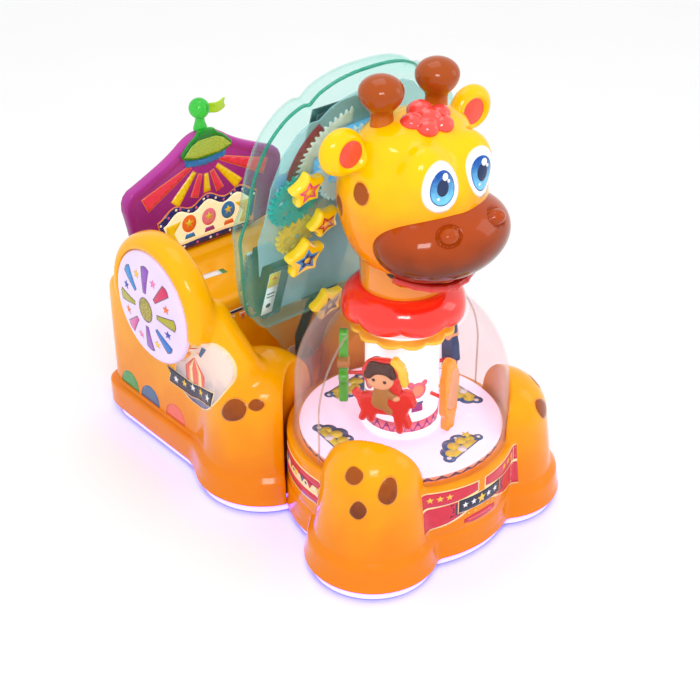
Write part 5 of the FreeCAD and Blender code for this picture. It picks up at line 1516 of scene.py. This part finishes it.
def swag(x0, x1, top0, top1, low0, low1, sag):
    """A hanging band: straight top, bottom edge sagging between ends."""
    n = 18
    top_edge = [(x0 + (x1 - x0) * k / n, top0 + (top1 - top0) * k / n)
                for k in range(n + 1)]
    low_edge = [(x0 + (x1 - x0) * k / n, low0 + (low1 - low0) * k / n
                 - sag * math.sin(math.pi * k / n)) for k in range(n + 1)]
    return top_edge + low_edge[::-1]


front = plane((0, -0.285, 0.0), (0, -1, 0))
cuts = []
for m in (-1, 1):
    def both(points, m=m):
        line = [(m * a, b) for a, b in points]
        return line if m > 0 else line[::-1]

    cuts.append((front, both(swag(0.010, 0.170, 0.243, 0.248, 0.178, 0.130,
                                  0.012)), cream_edge, 0))
    cuts.append((front, both(swag(0.014, 0.170, 0.240, 0.245, 0.214, 0.204,
                                  0.005)), crimson, 1))
    cuts.append((front, both(swag(0.020, 0.170, 0.206, 0.196, 0.182, 0.134,
                                  0.012)), crimson, 1))
    for k, x in enumerate((0.098, 0.122, 0.146)):
        cuts.append((front, moved(star(0.0100), m * x, 0.2240), gold_star,
                     2))
ribbon = [(-0.072, 0.166), (0.072, 0.166), (0.072, 0.204), (-0.072, 0.204)]
cuts += [(front, [(-0.096, 0.158), (-0.066, 0.160), (-0.066, 0.194),
                  (-0.096, 0.200), (-0.086, 0.178)], navy_film, 1),
         (front, [(0.066, 0.160), (0.096, 0.158), (0.086, 0.178),
                  (0.096, 0.200), (0.066, 0.194)], navy_film, 1),
         (front, [(a * 1.03, (b - 0.185) * 1.12 + 0.185)
                  for a, b in ribbon], cream_edge, 2),
         (front, ribbon, navy_film, 3),
         (front, moved(star(0.0155), 0, 0.184), gold_star, 4)]
for k in (-2, -1, 1, 2):
    cuts += [(front, moved(star(0.0095), 0.0265 * k, 0.185), white_ink, 4),
             (front, moved(star(0.0050), 0.0210 * k, 0.155), gold_star, 4)]
cuts += [(front, [tuple(p) for p in rounded(
             [(-0.054, 0.122), (0.054, 0.122), (0.054, 0.144),
              (-0.054, 0.144)], 1)], crimson, 1),
         (front, [(-0.042, 0.1310), (0.042, 0.1310), (0.042, 0.1350),
                  (-0.042, 0.1350)], coral_dome, 2)]
film("ring_print", platform, "ride", cuts, pitch=0.008)
for m in (-1, 1):
    side_view = plane((m * 0.33, 0.075, 0), (m * 0.962, 0.273, 0))
    cuts = [(side_view, swag(-0.115, 0.115, 0.226, 0.226, 0.148, 0.148,
                             0.004), cream_edge, 0),
            (side_view, swag(-0.115, 0.115, 0.222, 0.222, 0.200, 0.200,
                             0.002), crimson, 1),
            (side_view, swag(-0.115, 0.115, 0.172, 0.172, 0.152, 0.152,
                             0.002), crimson, 1)]
    for k in range(6):
        x = -0.085 + 0.034 * k
        cuts.append((side_view, [(x - 0.011, 0.200), (x + 0.011, 0.200),
                                 (x, 0.182)][::-1],
                     (slate_dome, crimson, gold_star)[k % 3], 2))
        cuts.append((side_view, moved(star(0.006), x + 0.017, 0.189),
                     (white_ink, star_inks[2])[k % 2], 2))
    film("ring_side_print_" + ("right" if m < 0 else "left"), platform,
         "ride", cuts, pitch=0.01)
for m in (-1, 1):
    pod = near_pod if m < 0 else far_pod
    wall_view = plane((m * 0.345, 0, 0), (m, 0, 0))

    def on_wall(points, m=m):
        """Outline given as (behind the dome axis, height)."""
        line = [(m * a, b) for a, b in points]
        return line if m > 0 else line[::-1]

    cuts = []
    for y, mat in ((0.795, leaf_green), (0.690, slate_dome),
                   (0.565, coral_dome)):
        dome_line = [(y + 0.047 * math.cos(a) - 0.006 * math.sin(a),
                      0.124 + 0.054 * math.sin(a))
                     for a in np.linspace(0, math.pi, 22)]
        cuts.append((wall_view, on_wall(dome_line), mat, 0))
    leaf = [tuple(p) for p in rounded(
        [(0.429, 0.466), (0.350, 0.464), (0.293, 0.400), (0.322, 0.326),
         (0.395, 0.243), (0.484, 0.233), (0.540, 0.272), (0.541, 0.319),
         (0.512, 0.384), (0.478, 0.430)], 2)]
    sky = graded_print_and_shade("picture sky print " + ("right" if m < 0 else "left"),
                  "#24548C", "#F8DCD0", 0.22, 0.40, 0.18, grain_mm=30.0,
                  wave=0.01, coat=0.3)
    cuts.append((wall_view, on_wall([((a - 0.42) * 1.05 + 0.42,
                                      (b - 0.35) * 1.05 + 0.35)
                                     for a, b in leaf]), cream_edge, 0))
    cuts.append((wall_view, on_wall(leaf), sky, 1))
    tent_pic = [(0.492, 0.300), (0.492, 0.345), (0.448, 0.388),
                (0.404, 0.345), (0.404, 0.300)]
    cuts.append((wall_view, on_wall(tent_pic), coral_dome, 2))
    for k in (-1, 1):
        cuts.append((wall_view, on_wall(
            [(0.448 + 0.020 * k - 0.009, 0.300),
             (0.448 + 0.020 * k - 0.007, 0.346), (0.448, 0.386),
             (0.448 + 0.020 * k + 0.007, 0.346),
             (0.448 + 0.020 * k + 0.009, 0.300)]), cream_edge, 3))
    for k in range(5):
        a = 0.75 + 0.34 * k
        p = (0.440 + 0.086 * math.cos(a), 0.372 + 0.082 * math.sin(a))
        q = (0.440 + 0.036 * math.cos(a), 0.372 + 0.036 * math.sin(a))
        n = (-math.sin(a) * 0.0085, math.cos(a) * 0.0085)
        cuts.append((wall_view, on_wall([
            (q[0] - n[0] * 0.6, q[1] - n[1] * 0.6),
            (p[0] - n[0], p[1] - n[1]), (p[0] + n[0], p[1] + n[1]),
            (q[0] + n[0] * 0.6, q[1] + n[1] * 0.6)]),
            (lace_film, leaf_green, gold_star, coral_dome,
             slate_dome)[k], 2))
    band = [(0.586, 0.300), (0.568, 0.280), (0.578, 0.252), (0.470, 0.252),
            (0.360, 0.280), (0.354, 0.322), (0.465, 0.296)]
    cuts.append((wall_view, on_wall([((a - 0.46) * 1.04 + 0.46,
                                      (b - 0.285) * 1.12 + 0.285)
                                     for a, b in band]), cream_edge, 3))
    cuts.append((wall_view, on_wall(band), navy_film, 4))
    for k in range(5):
        y = 0.383 + 0.040 * k
        cuts.append((wall_view, moved(
            star(0.0125), m * y, 0.296 - 0.14 * (y - 0.375)),
            gold_star if k % 2 else white_ink, 5))
    film("wall_print_" + ("right" if m < 0 else "left"), pod, "ride",
         cuts, pitch=0.010)
riser = plane((0, 0.50, 0.0), (0, -1, 0))
cuts = [(riser, [(-0.205, 0.4005), (0.205, 0.4005), (0.205, 0.4125),
                 (-0.205, 0.4125)], white_ink, 0),
        (riser, [(-0.205, 0.4025), (0.205, 0.4025), (0.205, 0.4105),
                 (-0.205, 0.4105)], navy_film, 1)]
for k in range(10):
    x = -0.182 + 0.0405 * k
    for g, mat, level in ((0.0, white_ink, 0), (0.003, (
            crimson, leaf_green, star_inks[1])[k % 3], 1)):
        cuts.append((riser, [(x - 0.013 + g, 0.395 - g),
                             (x, 0.370 + g * 1.6),
                             (x + 0.013 - g, 0.395 - g)], mat, level))
film("seat_print", tub, "ride", cuts, pitch=0.02)
seat_top = (Vector((-0.102, 0.694 + AXIS_Y, 0.47)), Vector((1, 0, 0)),
            Vector((0, 1, 0)))
film("seat_label", tub, "ride", [
    (seat_top, moved([(-0.050, -0.013), (0.050, -0.013), (0.050, 0.013),
                      (-0.050, 0.013)], 0, 0, -0.1), leaf_green, 0),
    (seat_top, moved([(-0.026, -0.013), (0.034, -0.013), (0.034, 0.013),
                      (-0.026, 0.013)], 0, 0, -0.1), white_ink, 1)],
     pitch=0.02)

# ---------------------------------------------------------------------------
# Backrest: a tent-shaped magenta moulding with raised border, printed roof
# rays, blue scalloped lace and a lit picture, under a green clear cap.
# ---------------------------------------------------------------------------
BACK = (0.828, 0.866)
tent_half = [(0.248, 0.4705), (0.260, 0.580), (0.285, 0.690),
             (0.1995, 0.726), (0.110, 0.768), (0.050, 0.812), (0.0, 0.822)]
tent_line = rounded(tent_half + [(-x, z) for x, z in
                                 reversed(tent_half[:-1])], 2)
tent_flat = outline_field(tent_line)


def backrest_field(x, y, z):
    body = slab(tent_flat(x, z), y - 0.847, 0.019, 0.012)
    inner = tent_flat(x, z) + 0.026
    dent = slab(inner, y - 0.826, 0.0055, 0.003)
    return smooth_max(body, -dent, 0.004)


magenta = graded_print_and_shade("magenta gloss-lacquered polyethylene", "#8C1E78",
                  "#B83C9C", 0.55, 0.80, 0.15)
backrest = solid("backrest_skin", backrest_field, (-0.30, 0.80, 0.455),
                 (0.30, 0.88, 0.84), 0.005, magenta, "ride",
                 ["backrest_frame", "backrest_panel"])
ray_red = ink("red ray print", "#F0304C", "#FA4460")
ray_yellow = ink("yellow ray print", "#F8D010", "#FFE028")
ray_edge = ink("orange ray edge", "#F08030", "#F89040")
lace_blue = ink("blue lace print", "#1C78C8", "#2C8CDC")
navy_ink = ink("navy band print", "#101C6C", "#1A2880")
cream_ink = ink("lit cream picture", "#FFF2C0", "#FFF8DC",
                emit="#FFF0C0", strength=0.25)
face = plane((0, 0.80, 0.822), (0, -1, 0))
cuts = []
for k in range(-3, 4):
    a = math.radians(-90 + (0, 21, 43, 66)[abs(k)] * (1 if k > 0 else -1))
    r0, r1 = 0.058, (0.114, 0.126, 0.166, 0.232)[abs(k)]
    h = math.radians(5.6)
    for grow, mat, level in ((0.0022, ray_edge, 0),
                             (0.0, (ray_red if k % 2 else ray_yellow), 1)):
        g = grow
        wedge = [(r0 - g, -r0 * h - g), (r1 + g, -r1 * h - g),
                 (r1 + g, r1 * h + g), (r0 - g, r0 * h + g)]
        cuts.append((face, moved(wedge, 0, -0.074, a), mat, level))
lace = [(0.062 - 0.124 * k / 16, -0.056 - 0.010 * math.cos(
    math.pi * (k / 8 - 1) * 0.5)) for k in range(17)]
lace_low = []
for k in range(49):
    t = k / 48
    lace_low.append((-0.062 + 0.124 * t, -0.072 - 0.010 * math.cos(
        math.pi * (t - 0.5)) - 0.0045 * abs(math.sin(7 * math.pi * t))))
cuts.append((face, moved(lace + lace_low, 0, -0.010, 0, 1.15, 1.1),
             lace_blue, 3))


def picture(g):
    """Picture outline with a wavy top and a notched foot, inset by g."""
    pts = []
    for k in range(25):
        t = -1 + k / 12
        pts.append((-0.175 * t * (1 - g / 0.175),
                    -0.226 - g + 0.012 * math.cos(3 * math.pi * t)
                    + 0.018 * math.cos(math.pi * t / 2)))
    for k in range(13):
        t = -1 + k / 6
        pts.append(((0.150 - g) * t, -0.342 + g))
    return pts


cuts.append((face, picture(-0.004), ray_edge, 1))
cuts.append((face, picture(0.0), navy_ink, 2))
cuts.append((face, picture(0.016), cream_ink, 3))
for k in range(22):
    ring = picture(0.008)
    p = ring[int(k * len(ring) / 22)]
    cuts.append((face, moved(disc(0.0042, 14), *p),
                 (white_ink, wedge_inks[5])[k % 2], 3))
for k in (-1, 1):
    drape = [(k * 0.146, -0.322), (k * 0.108, -0.322), (k * 0.124, -0.285),
             (k * 0.096, -0.252), (k * 0.150, -0.256)]
    cuts.append((face, drape if k < 0 else drape[::-1], ray_yellow, 4))
for k, x in enumerate((-0.070, 0.0, 0.070)):
    cuts.append((face, moved(disc(0.025, 24, 0.027), x, -0.268),
                 (star_inks[1], pink_ink, lace_blue)[k], 4))
    cuts.append((face, moved(star(0.015), x, -0.267), lemon, 5))
    cuts.append((face, [(x - 0.019, -0.314), (x + 0.019, -0.314),
                        (x + 0.014, -0.300), (x - 0.014, -0.300)],
                 (lace_blue, deep_purple, star_inks[1])[k], 4))
film("backrest_print", backrest, "ride", cuts,
     pitch=0.012)
green_clear = clear("clear green polycarbonate", "#8CEC8C", "#B4F8B4", 2.5,
                    0.35, body="#28C838")
glitter_green = gloss("gold-green glitter film", "#3C8C1C", "#E8F060", 0.25,
                      grain_mm=3.0, wave=0.3)
cap_line = rounded([(0.100, 0.758), (0.062, 0.800), (0.034, 0.816),
                    (0.026, 0.832), (-0.026, 0.832), (-0.034, 0.816),
                    (-0.062, 0.800), (-0.100, 0.758), (0.0, 0.742)], 2)
cap_flat = outline_field(cap_line, cell=0.001)
cap = solid("cap_skin", lambda x, y, z: slab(cap_flat(x, z), y - 0.822,
                                             0.0065, 0.004),
            (-0.10, 0.80, 0.70), (0.10, 0.84, 0.85), 0.003, green_clear,
            "ride", ["backrest_cap"])
film("cap_glitter", cap, "ride", [
    (face, [(0.056, -0.030), (0.082, -0.056), (0.04, -0.068),
            (-0.04, -0.068), (-0.082, -0.056), (-0.056, -0.030),
            (-0.03, -0.018), (0.03, -0.018)], glitter_green, 0)])
finial = turned("finial_skin", [(0, 0.822), (0.021, 0.8225), (0.019, 0.832),
                                (0.0145, 0.845), (0.0135, 0.857)]
                + [(0.030 * math.cos(a), 0.884 + 0.030 * math.sin(a))
                   for a in np.linspace(-1.10, math.pi / 2, 20)][:-1]
                + [(0, 0.914)], (0, 0.847, 0), seg=48)
declare(finial, green_clear, "ride", ["finial"])
lime = gloss("lime moulded flag", "#A8D41C", "#C4E834", 0.25, grain_mm=20.0)
flag_flat = outline_field(rounded(
    [(0.026, 0.862), (0.060, 0.858), (0.096, 0.864), (0.086, 0.879),
     (0.096, 0.896), (0.060, 0.888), (0.026, 0.892)], 1), cell=0.001)
solid("flag_skin", lambda x, y, z: slab(
    flag_flat(x, z), y - 0.847 - 0.004 * np.sin(x * 80), 0.002, 0.0015),
    (0.018, 0.83, 0.85), (0.10, 0.86, 0.91), 0.0024, lime, "ride", [])

# ---------------------------------------------------------------------------
# Everything still shown as made in the workshop: steel base and frames,
# motors, gears, coin unit, steering wheel, screen, doors and switches.
# ---------------------------------------------------------------------------


def metal(name, low, high, rough, grain_mm=8.0):
    """Machined or plated metal with fine brushed unevenness."""
    return surface(name, low, high, rough, grain_mm, 0, {"Detail": 4.0},
                   spread=(0.7, 1.3), Metallic=1.0)


painted = gloss("black enamelled steel", "#1C1E20", "#2A2C30", 0.4,
                grain_mm=20.0)
zinc = metal("bright zinc-plated steel", "#A8ACB0", "#D0D4D8", 0.28)
motor_grey = gloss("grey enamelled motor", "#5A6068", "#6C727A", 0.45,
                   grain_mm=25.0)
rubber = gloss("black rubber foot", "#18181A", "#242426", 0.75,
               grain_mm=12.0, wave=0.2)
board_brown = gloss("varnished plywood pan", "#8C6A42", "#A88254", 0.55,
                    grain_mm=14.0, wave=0.1)
strip_lit = gloss("opal light strip", "#D8D0FA", "#EEE8FF", 0.3,
                  emit="#5850FF", emit_strength=3.4, grain_mm=80.0)
# The white gear glows though no lamp is in it: painted light.
white_gear_painted_glow = gloss("white acetal gear with painted glow", "#E8F0F8", "#F8FCFF", 0.3,
                   grain_mm=30.0, emit="#D8F4FF", emit_strength=0.10)
teal_gear = gloss("teal acetal gear", "#18A098", "#2CB8B0", 0.3,
                  grain_mm=30.0)
yellow_gear = gloss("yellow acetal gear", "#F8C010", "#FFD42C", 0.3,
                    grain_mm=30.0)
blue_gear = gloss("sky blue acetal gear", "#58B8F0", "#74CCFA", 0.3,
                  grain_mm=30.0)
coin_green = gloss("dark green coin mechanism housing", "#0A4434",
                   "#14604A", 0.2, grain_mm=20.0, coat=0.4)
black_plastic = gloss("black moulded plastic", "#141416", "#202024", 0.35,
                      grain_mm=10.0, wave=0.1)
dark_glass = gloss("dark display glass", "#0C1424", "#16263C", 0.05,
                   grain_mm=60.0, coat=0.5)
red_cap = gloss("red button cap", "#D82418", "#EC3828", 0.2, grain_mm=15.0)
blue_cap = gloss("blue button cap", "#1C60C8", "#2C74DC", 0.2,
                 grain_mm=15.0)
white_plastic = gloss("white moulded plastic", "#E8E8EC", "#F8F8FA", 0.35,
                      grain_mm=20.0)
wheel_red = gloss("red moulded steering wheel", "#E03020", "#F04030", 0.3,
                  grain_mm=25.0, wave=0.2)
SMALL = 6000            # faces; only simple parts need a broken edge
kept = (
    (painted, "base_frame ride_frame rod_bracket console_mast"),
    (board_brown, "base_pan"),
    (strip_lit, "light_skirt"),
    (rubber, "levelling_feet"),
    (zinc, "pivot_bearings power_supply crank connecting_rod pivot_shaft "
           "centre_post coin_plate wheel_bearing door_lock"),
    (motor_grey, "drive_motor carousel_motor"),
    (board, "gear_plate"),
    (coin_green, "coin_box"),
    (red_cap, "coin_return_button button_start power_switch"),
    (dark_glass, "screen"),
    (black_plastic, "speaker_grille power_panel"),
    (wheel_red, "steering_wheel"),
    (white_gear_painted_glow, "gear_large"),
    (teal_gear, "gear_teal"),
    (yellow_gear, "gear_yellow"),
    (blue_gear, "gear_blue"),
    (blue_cap, "button_music"),
    (white_plastic, "cash_door"))
for mat, names in kept:
    for name in names.split():
        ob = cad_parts[name]
        ob.data.materials.clear()
        ob.data.materials.append(mat)
        ob.data.polygons.foreach_set("material_index",
                                     [0] * len(ob.data.polygons))
        if len(ob.data.polygons) < SMALL:
            edge = ob.modifiers.new("edge", "BEVEL")
            edge.width = 0.0006
            edge.segments = 2
            edge.limit_method = "ANGLE"
            edge.angle_limit = math.radians(40)

# Two plain stickers on the coin box, a yellow block over a white one, where
# the maker puts the operating notes.
label_yellow = ink("yellow sticker", "#F0D020", "#F8DC34")
sticker, sticker_face = console_sheet(-0.0445)
film("coin_stickers", sticker, "ride", [
    (sticker_face, [(-0.222, 0.052), (-0.186, 0.052), (-0.186, 0.200),
                    (-0.222, 0.200)], white_ink, 0),
    (sticker_face, [(-0.221, 0.150), (-0.187, 0.150), (-0.187, 0.199),
                    (-0.221, 0.199)], label_yellow, 1),
    (sticker_face, moved([(-0.008, -0.006), (0.008, -0.006), (0, 0.008)],
                         -0.204, 0.182), star_inks[1], 2),
    (sticker_face, [(-0.216, 0.124), (-0.192, 0.124), (-0.192, 0.128),
                    (-0.216, 0.128)], navy_film, 1),
    (sticker_face, [(-0.216, 0.112), (-0.192, 0.112), (-0.192, 0.116),
                    (-0.216, 0.116)], navy_film, 1),
    (sticker_face, moved(disc(0.008, 16), -0.204, 0.082), navy_film, 1)],
     pitch=0.03)

# ---------------------------------------------------------------------------
# Studio: pale floor and backdrop colour, soft boxes, and the camera.
# ---------------------------------------------------------------------------
scene = bpy.context.scene
world = bpy.data.worlds.new("studio")
scene.world = world
world.use_nodes = True
world.node_tree.nodes["Background"].inputs[0].default_value = (1, 1, 1, 1)
world.node_tree.nodes["Background"].inputs[1].default_value = 0.97
floor = shape("studio_floor", [(-9, -9, 0), (9, -9, 0), (9, 9, 0),
                               (-9, 9, 0)], [(0, 1, 2, 3)], False)
paper = gloss("pale studio paper", "#FAFAFB", "#FCFCFC", 0.8, grain_mm=400.0,
              wave=0.1)
floor.data.materials.append(paper)


def softbox(name, at, look, size, power, tint=(1, 1, 1)):
    lamp = bpy.data.lights.new(name, "AREA")
    lamp.shape = "RECTANGLE"
    lamp.size, lamp.size_y = size
    lamp.energy = power
    lamp.color = tint
    ob = bpy.data.objects.new(name, lamp)
    scene.collection.objects.link(ob)
    ob.location = at
    ob.rotation_euler = (Vector(look) - Vector(at)).to_track_quat(
        "-Z", "Y").to_euler()


softbox("key softbox", (-1.4, -1.9, 2.6), (0, -0.1, 0.6), (0.9, 0.6), 24)
softbox("fill softbox", (2.2, -1.8, 1.9), (0, -0.2, 0.6), (1.0, 1.4), 6)
softbox("top softbox", (0.2, 0.4, 3.2), (0, 0, 0.4), (1.4, 1.4), 10)

EYE = Vector((-2.0825, -2.1835 + AXIS_Y, 2.3385))
az, el = math.radians(-41.099), math.radians(31.634)
right = Vector((math.cos(az), math.sin(az), 0))
back = Vector((math.sin(az) * math.cos(el), -math.cos(az) * math.cos(el),
               math.sin(el)))
up = back.cross(right)
cam = bpy.data.cameras.new("camera")
cam.sensor_width = 36.0
cam.lens = 71.09
camera = bpy.data.objects.new("camera", cam)
scene.collection.objects.link(camera)
pose = Matrix((right, up, back)).transposed().to_4x4()
pose.translation = EYE
camera.matrix_world = pose
scene.camera = camera
scene.view_settings.view_transform = "Standard"
